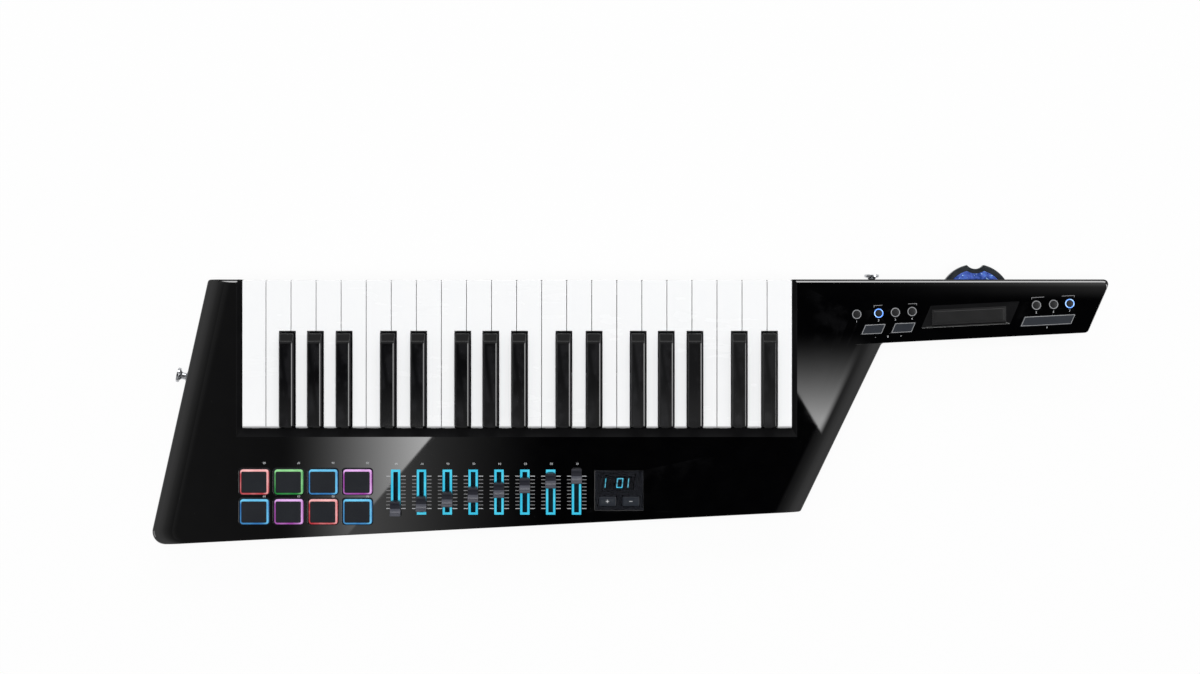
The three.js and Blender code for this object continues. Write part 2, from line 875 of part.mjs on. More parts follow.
// A natural key about its hinge, with its tail cut clear of the raised keys beside it
function buildNatural({ centre, low, high }) {
  const cut = sharpBaseWidth / 2 + keyGap;
  const onLow = sharps.find((sharp) => Math.abs(sharp.centre - low) < naturalPitch / 2);
  const onHigh = sharps.find((sharp) => Math.abs(sharp.centre - high) < naturalPitch / 2);
  const left = low + keyGap / 2 - centre;
  const right = high - keyGap / 2 - centre;
  const tailLeft = onLow ? onLow.centre + cut - centre : left;
  const tailRight = onHigh ? onHigh.centre - cut - centre : right;
  const rear = keyRear - pivotY;
  const front = keyFront - pivotY;
  const headRear = sharpFront + sharpFrontGap - pivotY;
  const outline = [
    point(tailLeft, rear),
    point(tailRight, rear),
    ...(onHigh ? [point(tailRight, headRear), point(right, headRear)] : []),
    point(right, front),
    point(left, front),
    ...(onLow ? [point(left, headRear), point(tailLeft, headRear)] : []),
  ];
  const bottom = keyBottom - pivotZ;
  const top = keyTop - pivotZ;
  const body = loft([
    { points: outline, z: bottom },
    { points: outline, z: top - keyEdgeRound },
    { points: evenInset(outline, keyEdgeRound), z: top },
  ]);
  const hollow = prism(evenInset(outline, keySkirtWall), bottom - cutOverrun, top - keyTopWall);
  return body.subtract(hollow).add(hingeTongue((tailLeft + tailRight) / 2, rear));
}

// A raised key about its hinge, narrower at the top and sloped at the front
function buildSharp() {
  const rear = sharpRear - pivotY;
  const front = sharpFront - pivotY;
  const bottom = keyBottom - pivotZ;
  const shoulder = keyTop - pivotZ;
  const top = shoulder + sharpRise;
  const plan = (width, from, to) => [
    point(-width / 2, from),
    point(width / 2, from),
    point(width / 2, to),
    point(-width / 2, to),
  ];
  const toeWidth = sharpBaseWidth - (sharpBaseWidth - sharpTopWidth) * sharpToeHeight / sharpRise;
  const crest = front - sharpSlopeLength;
  const body = loft([
    { points: plan(sharpBaseWidth, rear, front), z: bottom },
    { points: plan(sharpBaseWidth, rear, front), z: shoulder },
    { points: plan(toeWidth, rear, front - sharpToeLength), z: shoulder + sharpToeHeight },
    { points: plan(sharpTopWidth + keyEdgeRound, rear, crest), z: top - keyEdgeRound },
    { points: plan(sharpTopWidth, rear, crest - keyEdgeRound), z: top },
  ]);
  const hollow = prism(
    evenInset(plan(sharpBaseWidth, rear, front), keySkirtWall),
    bottom - cutOverrun,
    shoulder,
  );
  return body.subtract(hollow).add(hingeTongue(0, rear));
}

// Controls

// A rounded plug that narrows over its rim, from a base height to its top
function plug(corners, radius, low, top, rim, rimDrop) {
  return loft([
    { points: evenRounded(corners, radius, cornerSteps), z: low },
    { points: evenRounded(corners, radius, cornerSteps), z: top - rimDrop },
    { points: evenRounded(evenInset(corners, rim), radius / 2, cornerSteps), z: top },
  ]);
}

function buildPadMat() {
  const sheetTop = deckUnderside - seatGap;
  const sheetLow = sheetTop - padSheet;
  const lowX = padCentres[0].x - padWidth / 2 - padSheetMargin;
  const highX = padCentres.at(-1).x + padWidth / 2 + padSheetMargin;
  const lowY = padCentres.at(-1).y - padLength / 2 - padSheetMargin;
  const highY = padCentres[0].y + padLength / 2 + padSheetMargin;
  const pads = padCentres.map((centre) => plug(
    rectangle(centre, padWidth, padLength),
    padCorner,
    sheetLow,
    deckHeight + padRise,
    padRim,
    padRimDrop,
  ));
  return block(lowX, highX, lowY, highY, sheetLow, sheetTop).add(joined(pads));
}

function buildValueMat() {
  const sheetTop = deckHeight - windowThickness - seatGap - panThickness - seatGap;
  const sheetLow = sheetTop - matSheet;
  const [minus, plus] = valueButtonCentres;
  const margin = matSheet;
  const buttons = valueButtonCentres.map((centre) => plug(
    rectangle(centre, valueButtonWidth, valueButtonLength),
    buttonCorner,
    sheetLow,
    deckHeight + valueButtonRise,
    seatGap,
    seatGap,
  ));
  return block(
    minus.x - valueButtonWidth / 2 - margin,
    plus.x + valueButtonWidth / 2 + margin,
    minus.y - valueButtonLength / 2 - margin,
    minus.y + valueButtonLength / 2 + margin,
    sheetLow,
    sheetTop,
  ).add(joined(buttons));
}

function buildNeckMat() {
  const reachOf = (centre) => centre.x - fieldEdge;
  const start = reachOf(roundButtonCentres[0]) - matStripWidth / 2;
  const end = reachOf(roundButtonCentres.at(-1)) + matStripWidth / 2;
  const strip = [
    neckPoint(start, roundButtonHeight - matStripWidth / 2),
    neckPoint(end, roundButtonHeight - matStripWidth / 2),
    neckPoint(end, roundButtonHeight + matStripWidth / 2),
    neckPoint(start, roundButtonHeight + matStripWidth / 2),
  ];
  const top = deckHeight + roundButtonRise;
  const buttons = roundButtonCentres.map((centre) => {
    const profile = [
      point(0, neckMatLow),
      point(roundButtonRadius, neckMatLow),
      point(roundButtonRadius, top - seatGap),
      point(roundButtonRadius - seatGap, top),
      point(0, top),
    ];
    const geometry = new THREE.LatheGeometry(profile, buttonSteps);
    geometry.rotateX(Math.PI / 2);
    geometry.translate(centre.x, centre.y, 0);
    return solidOf(geometry);
  });
  return prism(strip, neckMatLow, neckMatTop).add(joined(buttons));
}

function buildBarButton(outline) {
  const flangeTop = deckUnderside - seatGap;
  const flangeLow = flangeTop - barFlangeThickness;
  const face = evenInset(outline, moveGap);
  return loft([
    { points: face, z: flangeLow },
    { points: face, z: deckHeight + barButtonRise - seatGap },
    { points: evenInset(face, seatGap), z: deckHeight + barButtonRise },
  ]).add(prism(evenInset(outline, -barFlange), flangeLow, flangeTop));
}

function buildRibbonStrip() {
  const low = deckHeight - recessDepth + seatGap;
  return prism(ribbonOutline, low, low + ribbonThickness);
}

function buildDisplayWindow() {
  const low = deckHeight - windowThickness;
  const outline = rectangle(windowCentre, windowWidth, windowLength);
  const holes = valueButtonCentres.map((centre) => prism(
    evenRounded(
      rectangle(centre, valueButtonWidth + 2 * moveGap, valueButtonLength + 2 * moveGap),
      buttonCorner + moveGap,
      cornerSteps,
    ),
    low - cutOverrun,
    deckHeight + cutOverrun,
  ));
  return prism(outline, low, deckHeight).subtract(joined(holes));
}

// A fader cap about the middle of its slot at deck height, with its blade
function buildFaderCap() {
  const half = faderCapLength / 2;
  const crest = half - faderCapTaper;
  const floor = faderCapGap + faderCapHeight - faderCapValley;
  const cap = crosswise([
    point(-half, faderCapGap),
    point(half, faderCapGap),
    point(crest, faderCapGap + faderCapHeight),
    point(crest * 0.8, faderCapGap + faderCapHeight),
    point(crest * 0.3, floor + faderCapValley * 0.2),
    point(0, floor),
    point(-crest * 0.3, floor + faderCapValley * 0.2),
    point(-crest * 0.8, faderCapGap + faderCapHeight),
    point(-crest, faderCapGap + faderCapHeight),
  ], faderCapWidth);
  return cap.add(block(
    -faderBladeWidth / 2,
    faderBladeWidth / 2,
    -faderBladeLength / 2,
    faderBladeLength / 2,
    -faderBladeDepth,
    faderCapGap + thinWall,
  ));
}

// The pitch wheel about its axle: a disc with a thumb notch, cut straight where it stays inside
function buildPitchWheel() {
  const rim = wheelRadius - wheelRimWidth;
  const bore = axlePinRadius + moveGap;
  const geometry = new THREE.LatheGeometry([
    point(bore, 0),
    point(wheelRadius - wheelEdge, 0),
    point(wheelRadius, wheelEdge),
    point(wheelRadius, wheelThickness - wheelEdge),
    point(wheelRadius - wheelEdge, wheelThickness),
    point(rim, wheelThickness),
    point(rim, wheelThickness - wheelFaceRecess),
    point(wheelHubRadius, wheelThickness - wheelFaceRecess),
    point(wheelHubRadius, wheelThickness),
    point(bore, wheelThickness),
    point(bore, 0),
  ], wheelSteps);
  geometry.rotateX(Math.PI / 2);
  const notchCentre = point(0, wheelRadius - wheelNotchDepth + wheelNotchRadius);
  return solidOf(geometry)
    .subtract(post(wheelNotchRadius, notchCentre, -cutOverrun, wheelThickness + cutOverrun, strapSteps))
    .subtract(block(
      -wheelRadius - cutOverrun,
      wheelRadius + cutOverrun,
      -wheelRadius - cutOverrun,
      -wheelChordDepth,
      -cutOverrun,
      wheelThickness + cutOverrun,
    ));
}

// A strap button standing along Z on the face at Z = 0
function buildStrapButton() {
  const foot = seatGap + strapFootThickness;
  const headLow = strapHeight - strapHeadThickness;
  const overhang = strapHeadRadius - strapStemRadius;
  const geometry = new THREE.LatheGeometry([
    point(0, seatGap),
    point(strapFootRadius, seatGap),
    point(strapFootRadius, foot - strapRim),
    point(strapStemRadius + strapRim, foot),
    point(strapStemRadius, foot + strapRim),
    ...strapFlareShares.map(({ out, down }) => (
      point(strapStemRadius + overhang * out, headLow - strapFlare * down)
    )),
    point(strapHeadRadius - strapRim, headLow),
    point(strapHeadRadius, headLow + strapRim),
    point(strapHeadRadius, strapHeight - strapRim),
    point(strapHeadRadius - strapRim, strapHeight),
    point(0, strapHeight),
  ], strapSteps);
  geometry.rotateX(Math.PI / 2);
  return solidOf(geometry);
}

// Assembly

function buildCase() {
  const group = new THREE.Group();
  group.add(meshOf('front_shell', buildFrontShell(), plastic(0x0c0c0e, 0.15)));
  group.add(meshOf('back_shell', buildBackShell(), plastic(0x17181b, 0.5)));
  group.add(meshOf('battery_door', buildBatteryDoor(), plastic(0x1a1b1e, 0.5)));
  group.add(meshOf('display_window', buildDisplayWindow(), plastic(0x14161a, 0.1)));
  group.add(meshOf('pad_mat', buildPadMat(), plastic(0x23272b, 0.7)));
  group.add(meshOf('value_button_mat', buildValueMat(), plastic(0x2c2e33, 0.6)));
  group.add(meshOf('neck_button_mat', buildNeckMat(), plastic(0x3a3d42, 0.6)));
  group.add(meshOf('ribbon_strip', buildRibbonStrip(), plastic(0x262626, 0.4)));
  return group;
}

function buildKeyboard() {
  const group = new THREE.Group();
  group.add(meshOf('key_bed', buildKeyBed(), plastic(0x3c3d40, 0.6)));
  const hinge = new THREE.Group();
  hinge.position.set(0, pivotY, pivotZ);
  for (const place of naturals) {
    const key = meshOf(place.name, buildNatural(place), plastic(0xf5f6f8, 0.3));
    key.position.x = place.centre;
    hinge.add(key);
  }
  for (const { name, centre } of sharps) {
    const key = meshOf(name, buildSharp(), plastic(0x101114, 0.25));
    key.position.x = centre;
    hinge.add(key);
  }
  group.add(hinge);
  return group;
}

function buildFaders() {
  const group = new THREE.Group();
  group.position.set(0, faderMiddle - faderTravel / 2, deckHeight);
  faderPlaces.forEach((x, i) => {
    const cap = meshOf(`fader_cap_${i + 1}`, buildFaderCap(), plastic(0x3c3d46, 0.45));
    cap.position.set(x, faderTravel * i / (faderCount - 1), 0);
    group.add(cap);
  });
  return group;
}

function buildNeckButtons() {
  const group = new THREE.Group();
  barButtons.forEach(({ name }, i) => {
    group.add(meshOf(name, buildBarButton(barOutlines[i]), plastic(0x24282e, 0.45)));
  });
  return group;
}

function buildWheel() {
  const wheel = meshOf('pitch_wheel', buildPitchWheel(), plastic(0x30323a, 0.4));
  wheel.position.set(wheelCentre.x, wheelCentre.y, wheelLow);
  return wheel;
}

function buildStrapButtons() {
  const group = new THREE.Group();
  const [tailTop, tailLow] = caseCorners;
  const along = tailLow.clone().sub(tailTop).normalize();
  const seat = tailTop.clone().addScaledVector(along, tailStrapDepth / -along.y);
  const tail = meshOf('strap_button_tail', buildStrapButton(), metal(0xc8cacd, 0.2));
  tail.position.set(seat.x, seat.y, (splitHeight + deckHeight - rollDrop) / 2);
  tail.rotation.set(0, -Math.PI / 2, 0);
  tail.rotation.order = 'ZYX';
  tail.rotation.z = Math.atan2(along.y, along.x) + Math.PI / 2;
  const neck = meshOf('strap_button_neck', buildStrapButton(), metal(0xc8cacd, 0.2));
  neck.position.set(fieldEdge + neckStrapReach, upperEdge - neckStrapInset, splitHeight / 2);
  neck.rotation.x = -Math.PI / 2;
  group.add(tail, neck);
  return group;
}

const keytar = new THREE.Group();
keytar.add(
  buildCase(),
  buildKeyboard(),
  buildFaders(),
  buildNeckButtons(),
  buildWheel(),
  buildStrapButtons(),
);

export default keytar;
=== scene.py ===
"""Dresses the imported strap-on keyboard: fine meshes, procedural finishes, a plain studio and its camera."""

import json
import logging
import math
from collections.abc import Iterable, Sequence
from dataclasses import dataclass, field
from enum import Enum
from functools import cache, reduce
from typing import Any

import bmesh
import bpy
from mathutils import Matrix, Vector


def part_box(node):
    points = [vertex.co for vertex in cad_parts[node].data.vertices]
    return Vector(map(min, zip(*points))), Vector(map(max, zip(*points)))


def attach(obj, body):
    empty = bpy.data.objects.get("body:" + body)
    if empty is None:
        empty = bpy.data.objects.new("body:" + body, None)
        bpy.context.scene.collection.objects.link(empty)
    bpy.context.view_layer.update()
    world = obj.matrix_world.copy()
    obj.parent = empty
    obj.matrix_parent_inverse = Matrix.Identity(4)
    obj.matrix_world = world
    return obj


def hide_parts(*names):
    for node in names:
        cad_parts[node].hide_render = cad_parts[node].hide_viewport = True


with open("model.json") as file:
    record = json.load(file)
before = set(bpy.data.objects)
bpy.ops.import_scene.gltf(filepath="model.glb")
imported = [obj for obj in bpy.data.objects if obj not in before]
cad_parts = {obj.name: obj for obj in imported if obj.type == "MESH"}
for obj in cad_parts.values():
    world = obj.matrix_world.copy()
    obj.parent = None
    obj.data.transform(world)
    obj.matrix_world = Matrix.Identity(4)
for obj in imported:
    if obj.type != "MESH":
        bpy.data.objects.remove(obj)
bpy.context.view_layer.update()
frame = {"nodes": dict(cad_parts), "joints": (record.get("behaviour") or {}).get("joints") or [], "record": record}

MM = 0.001
CASE = "case"
log = logging.getLogger("keytar")

Point = tuple[float, float]
Corner = tuple[float, float, float]
Colour = tuple[float, float, float]
Level = tuple[float, float]
Mesh = bpy.types.Mesh
Material = bpy.types.Material
Node = bpy.types.Node
Socket = bpy.types.NodeSocket


# Outlines


def inset(corners: Sequence[Point], distances: Sequence[float]) -> list[Point]:
    """Moves each edge of an anticlockwise outline inwards by its own distance.

    Args:
        corners: The outline's corners.
        distances: How far the edge that leaves each corner moves.

    Returns:
        The corners of the smaller outline.
    """
    count = len(corners)
    moved = []
    for i, corner in enumerate(corners):
        here = Vector(corner)
        arriving = (here - Vector(corners[i - 1])).normalized()
        leaving = (Vector(corners[(i + 1) % count]) - here).normalized()
        turn = arriving.cross(leaving)
        place = here + leaving * (distances[i - 1] / turn) - arriving * (distances[i] / turn)
        moved.append((place.x, place.y))
    return moved


def shrunk(corners: Sequence[Point], distance: float) -> list[Point]:
    """Moves every edge of an outline inwards by one distance, or outwards where it is negative."""
    return inset(corners, [distance] * len(corners))


def rounded(corners: Sequence[Point], radii: Sequence[float], steps: Sequence[int]) -> list[Point]:
    """Rounds each corner of an outline by an arc of its own radius.

    Args:
        corners: The outline's corners, anticlockwise.
        radii: The radius at each corner.
        steps: How many steps each arc has.

    Returns:
        The points of the rounded outline.
    """
    count = len(corners)
    points: list[Point] = []
    for i, corner in enumerate(corners):
        here = Vector(corner)
        arriving = (here - Vector(corners[i - 1])).normalized()
        leaving = (Vector(corners[(i + 1) % count]) - here).normalized()
        turn = math.atan2(arriving.cross(leaving), arriving.dot(leaving))
        start = here - arriving * (radii[i] * math.tan(abs(turn) / 2))
        side = math.copysign(radii[i], turn)
        centre = start + Vector((-arriving.y, arriving.x)) * side
        for k in range(steps[i] + 1):
            arm = start - centre
            arm.rotate(Matrix.Rotation(turn * k / steps[i], 2))
            points.append((centre.x + arm.x, centre.y + arm.y))
    return points


def softened(corners: Sequence[Point], radius: float, steps: int = 4) -> list[Point]:
    """Rounds every corner of an outline by one radius."""
    return rounded(corners, [radius] * len(corners), [steps] * len(corners))


def rectangle(x: float, y: float, width: float, length: float) -> list[Point]:
    """The corners of a rectangle about its centre, anticlockwise."""
    half, deep = width / 2, length / 2
    return [(x - half, y - deep), (x + half, y - deep), (x + half, y + deep), (x - half, y + deep)]


def circle(x: float, y: float, radius: float, steps: int) -> list[Point]:
    """The points of a circle, anticlockwise."""
    turns = (math.tau * k / steps for k in range(steps))
    return [(x + radius * math.cos(a), y + radius * math.sin(a)) for a in turns]


def level(points: Iterable[Point], z: float) -> list[Corner]:
    """Lifts an outline to a height."""
    return [(x, y, z) for x, y in points]


def crosscut(points: Iterable[Point], x: float) -> list[Corner]:
    """Stands a profile in Y and Z up at a place along X."""
    return [(x, y, z) for y, z in points]


def rounding(top: float, radius: float, steps: int = 4) -> list[Level]:
    """The inset and the height of each step of an upper edge that is rounded over.

    Args:
        top: The height of the face above the edge.
        radius: The radius of the edge.
        steps: How many steps the arc has.

    Returns:
        Pairs of inset and height, from the side up to the top.
    """
    turns = [math.pi / 2 * k / steps for k in range(steps + 1)]
    return [(radius * (1 - math.cos(a)), top - radius * (1 - math.sin(a))) for a in turns]


# Meshes


def merged(mesh: Mesh) -> None:
    """Merges the doubles of a mesh and turns its faces outwards.

    Args:
        mesh: The mesh, which is changed.
    """
    work = bmesh.new()
    work.from_mesh(mesh)
    bmesh.ops.remove_doubles(work, verts=work.verts, dist=0.0001 * MM)
    bmesh.ops.recalc_face_normals(work, faces=work.faces)
    work.to_mesh(mesh)
    work.free()


def box_of(node: str) -> tuple[Vector, Vector]:
    """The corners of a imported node's box, in millimetres."""
    low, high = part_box(node)
    return low / MM, high / MM


def metres(place: Iterable[float]) -> tuple[float, ...]:
    """A place or a size in metres."""
    return tuple(c * MM for c in place)


def dressed(base: float, rows: Sequence[tuple[float, float, int]]) -> tuple[list[Level], list[int]]:
    """Levels above a height, and the finish of the first cap, of each band and of the last cap."""
    return [(away, base + z) for away, z, _ in rows], [1, *(finish for _, _, finish in rows[1:]), 0]


@dataclass
class Hull:
    """Closed shells in millimetres, with the number of a finish on each face."""

    corners: list[Corner] = field(default_factory=list)
    faces: list[tuple[int, ...]] = field(default_factory=list)
    finishes: list[int] = field(default_factory=list)

    def loft(self, rings: Sequence[Sequence[Corner]], finish: int | Sequence[int] = 0,
             loop: bool = False) -> "Hull":
        """Adds a shell through rings that have the same number of points.

        Args:
            rings: The rings, lowest first.
            finish: One finish for all, or one for the first cap, each band and the last cap.
            loop: Whether the last ring joins the first again, with no caps.

        Returns:
            This hull.
        """
        first = len(self.corners)
        count = len(rings[0])
        for ring in rings:
            self.corners.extend(ring)
        bands = len(rings) if loop else len(rings) - 1
        numbers = [finish] * (bands + 2) if isinstance(finish, int) else list(finish)
        for band in range(bands):
            low = first + band * count
            high = first + (band + 1) % len(rings) * count
            for i in range(count):
                after = (i + 1) % count
                self._face((low + i, low + after, high + after, high + i), numbers[band + 1])
        if not loop:
            last = first + (len(rings) - 1) * count
            self._face(tuple(first + i for i in reversed(range(count))), numbers[0])
            self._face(tuple(last + i for i in range(count)), numbers[-1])
        return self

    def stack(self, corners: Sequence[Point], radius: float, levels: Sequence[Level],
              finish: int | Sequence[int] = 0, steps: int = 4) -> "Hull":
        """Adds a shell through insets of one outline with rounded corners.

        Args:
            corners: The outline's corners, anticlockwise.
            radius: The radius of its corners.
            levels: The inset and the height of each ring, lowest first.
            finish: As for a loft.
            steps: How many steps each corner has.

        Returns:
            This hull.
        """
        rings = [
            level(softened(shrunk(corners, away), max(radius - away, 0.04), steps), z)
            for away, z in levels
        ]
        return self.loft(rings, finish)

    def turned(self, profile: Sequence[Level], steps: int, x: float = 0, y: float = 0,
               finish: int | Sequence[int] = 0, loop: bool = False) -> "Hull":
        """Adds a shell turned about an upright axis.

        Args:
            profile: The radius and the height of each ring, lowest first.
            steps: How many steps go round.
            x: The axis along X.
            y: The axis along Y.
            finish: As for a loft.
            loop: Whether the profile closes on itself.

        Returns:
            This hull.
        """
        rings = [level(circle(x, y, radius, steps), z) for radius, z in profile]
        return self.loft(rings, finish, loop)

    def block(self, low: Corner, high: Corner, finish: int = 0) -> "Hull":
        """Adds a plain box between two corners.

        Args:
            low: The lower left near corner.
            high: The upper right far corner.
            finish: The number of the finish.

        Returns:
            This hull.
        """
        middle = ((low[0] + high[0]) / 2, (low[1] + high[1]) / 2)
        outline = rectangle(*middle, high[0] - low[0], high[1] - low[1])
        return self.loft([level(outline, low[2]), level(outline, high[2])], finish)

    def mesh(self, name: str, finishes: Sequence["Finish"] = (), place: Matrix | None = None) -> Mesh:
        """Turns the shells into a mesh in metres whose faces point outwards.

        Args:
            name: The mesh's name.
            finishes: The finishes that the faces number.
            place: Where the mesh goes, in metres, or None where it is already in place.

        Returns:
            The mesh.
        """
        mesh = bpy.data.meshes.new(name)
        for finish in finishes:
            mesh.materials.append(finish.material())
        mesh.from_pydata([metres(corner) for corner in self.corners], [], self.faces)
        mesh.polygons.foreach_set("material_index", self.finishes)
        merged(mesh)
        if place is not None:
            mesh.transform(place)
        return mesh

    def _face(self, corners: tuple[int, ...], finish: int) -> None:
        """Adds one face with its finish."""
        self.faces.append(corners)
        self.finishes.append(finish)


class Work(Enum):
    """What a tool solid does to the solid that it meets."""

    JOIN = "UNION"
    CUT = "DIFFERENCE"


def flattened(holder: bpy.types.Object) -> Mesh:
    """The mesh of an object with its modifiers worked in."""
    depsgraph = bpy.context.evaluated_depsgraph_get()
    return bpy.data.meshes.new_from_object(holder.evaluated_get(depsgraph), depsgraph=depsgraph)


def on_stage(name: str, data: bpy.types.ID) -> bpy.types.Object:
    """Puts a new object with this data in the scene.

    Args:
        name: The object's name.
        data: Its mesh, lamp or camera.

    Returns:
        The new object.
    """
    made = bpy.data.objects.new(name, data)
    bpy.context.scene.collection.objects.link(made)
    return made


def worked(base: "Mesh | Hull", steps: Iterable[tuple[Work, "Mesh | Hull"]]) -> Mesh:
    """Joins and cuts a solid with others, one after the other.

    Args:
        base: The solid to start from.
        steps: What each tool does, and the tool.

    Returns:
        The mesh that is left.
    """
    holder = on_stage("worked", base.mesh("worked") if isinstance(base, Hull) else base)
    for work, solid in steps:
        tool = on_stage("tool", solid.mesh("tool") if isinstance(solid, Hull) else solid)
        boolean = holder.modifiers.new("boolean", "BOOLEAN")
        boolean.operation = work.value
        boolean.solver = "MANIFOLD"
        boolean.object = tool
        before = len(holder.data.polygons)
        holder.data = flattened(holder)
        holder.modifiers.clear()
        if len(holder.data.polygons) == before:
            log.warning("a %s left %s faces as they were", work.name, before)
        bpy.data.objects.remove(tool)
    result = holder.data
    bpy.data.objects.remove(holder)
    return result


def piece(name: str, mesh: Mesh, body: str, stands_for: Sequence[str] = (),
          crease: float = 32) -> bpy.types.Object:
    """Makes a finished mesh a piece that moves with a body.

    Args:
        name: The piece's name.
        mesh: Its mesh, in place and with its materials.
        body: The body that it moves with.
        stands_for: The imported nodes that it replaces.
        crease: The angle in degrees from which an edge stays sharp.

    Returns:
        The piece.
    """
    made = on_stage(name, mesh)
    mesh.shade_smooth()
    mesh.set_sharp_from_angle(angle=math.radians(crease))
    weighted = made.modifiers.new("normals", "WEIGHTED_NORMAL")
    weighted.keep_sharp = True
    weighted.weight = 90
    made.data = flattened(made)
    made.data.name = name
    made.modifiers.clear()
    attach(made, body)
    if stands_for:
        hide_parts(*stands_for)
    log.info("%s rides on %s with %s faces", name, body, len(made.data.polygons))
    return made


# Nodes


@dataclass
class Wiring:
    """Adds nodes to one tree and joins them."""

    tree: bpy.types.NodeTree

    def node(self, kind: str, feeds: dict[str | int, Any] | None = None, **settings: Any) -> Node:
        """Adds a node.

        Args:
            kind: Its type name.
            feeds: A constant or an output socket for each input that isn't left alone.
            **settings: The node's own settings.

        Returns:
            The node.
        """
        made = self.tree.nodes.new(kind)
        for name, value in settings.items():
            setattr(made, name, value)
        for key, value in (feeds or {}).items():
            if isinstance(value, Socket):
                self.tree.links.new(value, made.inputs[key])
            else:
                made.inputs[key].default_value = value
        return made

    def group(self, tree: bpy.types.NodeTree, feeds: dict[str, Any]) -> Any:
        """Places a shader group with its own values and gives its outputs."""
        return self.node("ShaderNodeGroup", feeds, node_tree=tree).outputs

    def maths(self, operation: str, first: Any, second: Any = 0.0, clamp: bool = False) -> Socket:
        """Adds a sum and gives its result."""
        return self.node("ShaderNodeMath", {0: first, 1: second}, operation=operation,
                         use_clamp=clamp).outputs[0]

    def times(self, *factors: Any) -> Socket:
        """Multiplies values."""
        return reduce(lambda first, second: self.maths("MULTIPLY", first, second), factors)

    def between(self, value: Any, low: Any, high: Any, to_low: Any = 0.0, to_high: Any = 1.0) -> Socket:
        """Carries a value from one range smoothly to another."""
        feeds = {"Value": value, "From Min": low, "From Max": high, "To Min": to_low, "To Max": to_high}
        return self.node("ShaderNodeMapRange", feeds, interpolation_type="SMOOTHSTEP").outputs[0]

    def blend(self, share: Any, first: Any, second: Any) -> Socket:
        """Mixes two colours."""
        return self.node("ShaderNodeMix", {0: share, 6: first, 7: second}, data_type="RGBA").outputs[2]

    def noise(self, place: Socket, scale: Any, detail: float = 2.0, **more: float) -> Socket:
        """Adds clouds of noise and gives their value."""
        feeds = {"Vector": place, "Scale": scale, "Detail": detail, **more}
        return self.node("ShaderNodeTexNoise", feeds).outputs[0]

    def place(self) -> Socket:
        """The object's own coordinates."""
        return self.node("ShaderNodeTexCoord").outputs["Object"]


def opaque(colour: Colour) -> tuple[float, float, float, float]:
    """A colour with its alpha."""
    return (*colour, 1.0)


def shader_group(name: str, inputs: dict[str, str], outputs: dict[str, str]) -> tuple[Wiring, Any]:
    """Starts a shader node group with named sockets.

    Args:
        name: The group's name.
        inputs: The type of each input, by its name.
        outputs: The type of each output, by its name.

    Returns:
        The wiring and the sockets that the inputs come out of.
    """
    tree = bpy.data.node_groups.new(name, "ShaderNodeTree")
    for in_out, sockets in (("INPUT", inputs), ("OUTPUT", outputs)):
        for label, kind in sockets.items():
            tree.interface.new_socket(name=label, in_out=in_out, socket_type=f"NodeSocket{kind}")
    wiring = Wiring(tree)
    return wiring, wiring.node("NodeGroupInput").outputs


@cache
def grain_group() -> bpy.types.NodeTree:
    """The fine relief of moulded plastic or silicone, as a height."""
    wiring, given = shader_group("moulded_grain", {"Place": "Vector", "Grains per Metre": "Float"},
                                 {"Height": "Float"})
    place, grains = given["Place"], given["Grains per Metre"]
    cells = wiring.node("ShaderNodeTexVoronoi", {"Vector": place, "Scale": grains, "Randomness": 0.9},
                        feature="SMOOTH_F1")
    clouds = wiring.noise(place, grains, 3.0, Roughness=0.6)
    height = wiring.maths("ADD", wiring.times(cells.outputs["Distance"], 0.6), wiring.times(clouds, 0.4))
    wiring.node("NodeGroupOutput", {"Height": height})
    return wiring.tree


@cache
def handling_group() -> bpy.types.NodeTree:
    """The faint smears that hands leave on a surface, as a roughness."""
    wiring, given = shader_group(
        "handling_marks", {"Place": "Vector", "Clean": "Float", "Handled": "Float", "Size": "Float"},
        {"Roughness": "Float", "Mask": "Float"},
    )
    broad = wiring.noise(given["Place"], given["Size"], 5.0, Roughness=0.55, Distortion=0.6)
    stretched = wiring.node("ShaderNodeMapping", {
        "Vector": given["Place"], "Scale": (1.0, 7.0, 1.0), "Rotation": (0.0, 0.0, 0.7),
    })
    streaks = wiring.noise(stretched.outputs[0], given["Size"], 4.0)
    mask = wiring.maths("MULTIPLY", wiring.between(broad, 0.42, 0.7),
                        wiring.between(streaks, 0.35, 0.7), clamp=True)
    rough = wiring.between(mask, 0.0, 1.0, given["Clean"], given["Handled"])
    wiring.node("NodeGroupOutput", {"Roughness": rough, "Mask": mask})
    return wiring.tree


@cache
def wear_group() -> bpy.types.NodeTree:
    """A lighter tone where edges are rubbed, and mottling of the colour elsewhere."""
    wiring, given = shader_group(
        "edge_wear", {"Place": "Vector", "Colour": "Color", "Mottled": "Color", "Worn": "Color",
                      "Wear": "Float", "Mottling per Metre": "Float"},
        {"Colour": "Color", "Mask": "Float"},
    )
    pointiness = wiring.node("ShaderNodeNewGeometry").outputs["Pointiness"]
    patches = wiring.noise(given["Place"], given["Mottling per Metre"], 4.0)
    mask = wiring.maths("MULTIPLY", wiring.between(pointiness, 0.52, 0.62),
                        wiring.between(patches, 0.4, 0.62), clamp=True)
    mask = wiring.maths("MULTIPLY", mask, given["Wear"], clamp=True)
    mottled = wiring.blend(wiring.between(patches, 0.35, 0.7), given["Colour"], given["Mottled"])
    wiring.node("NodeGroupOutput", {"Colour": wiring.blend(mask, mottled, given["Worn"]), "Mask": mask})
    return wiring.tree


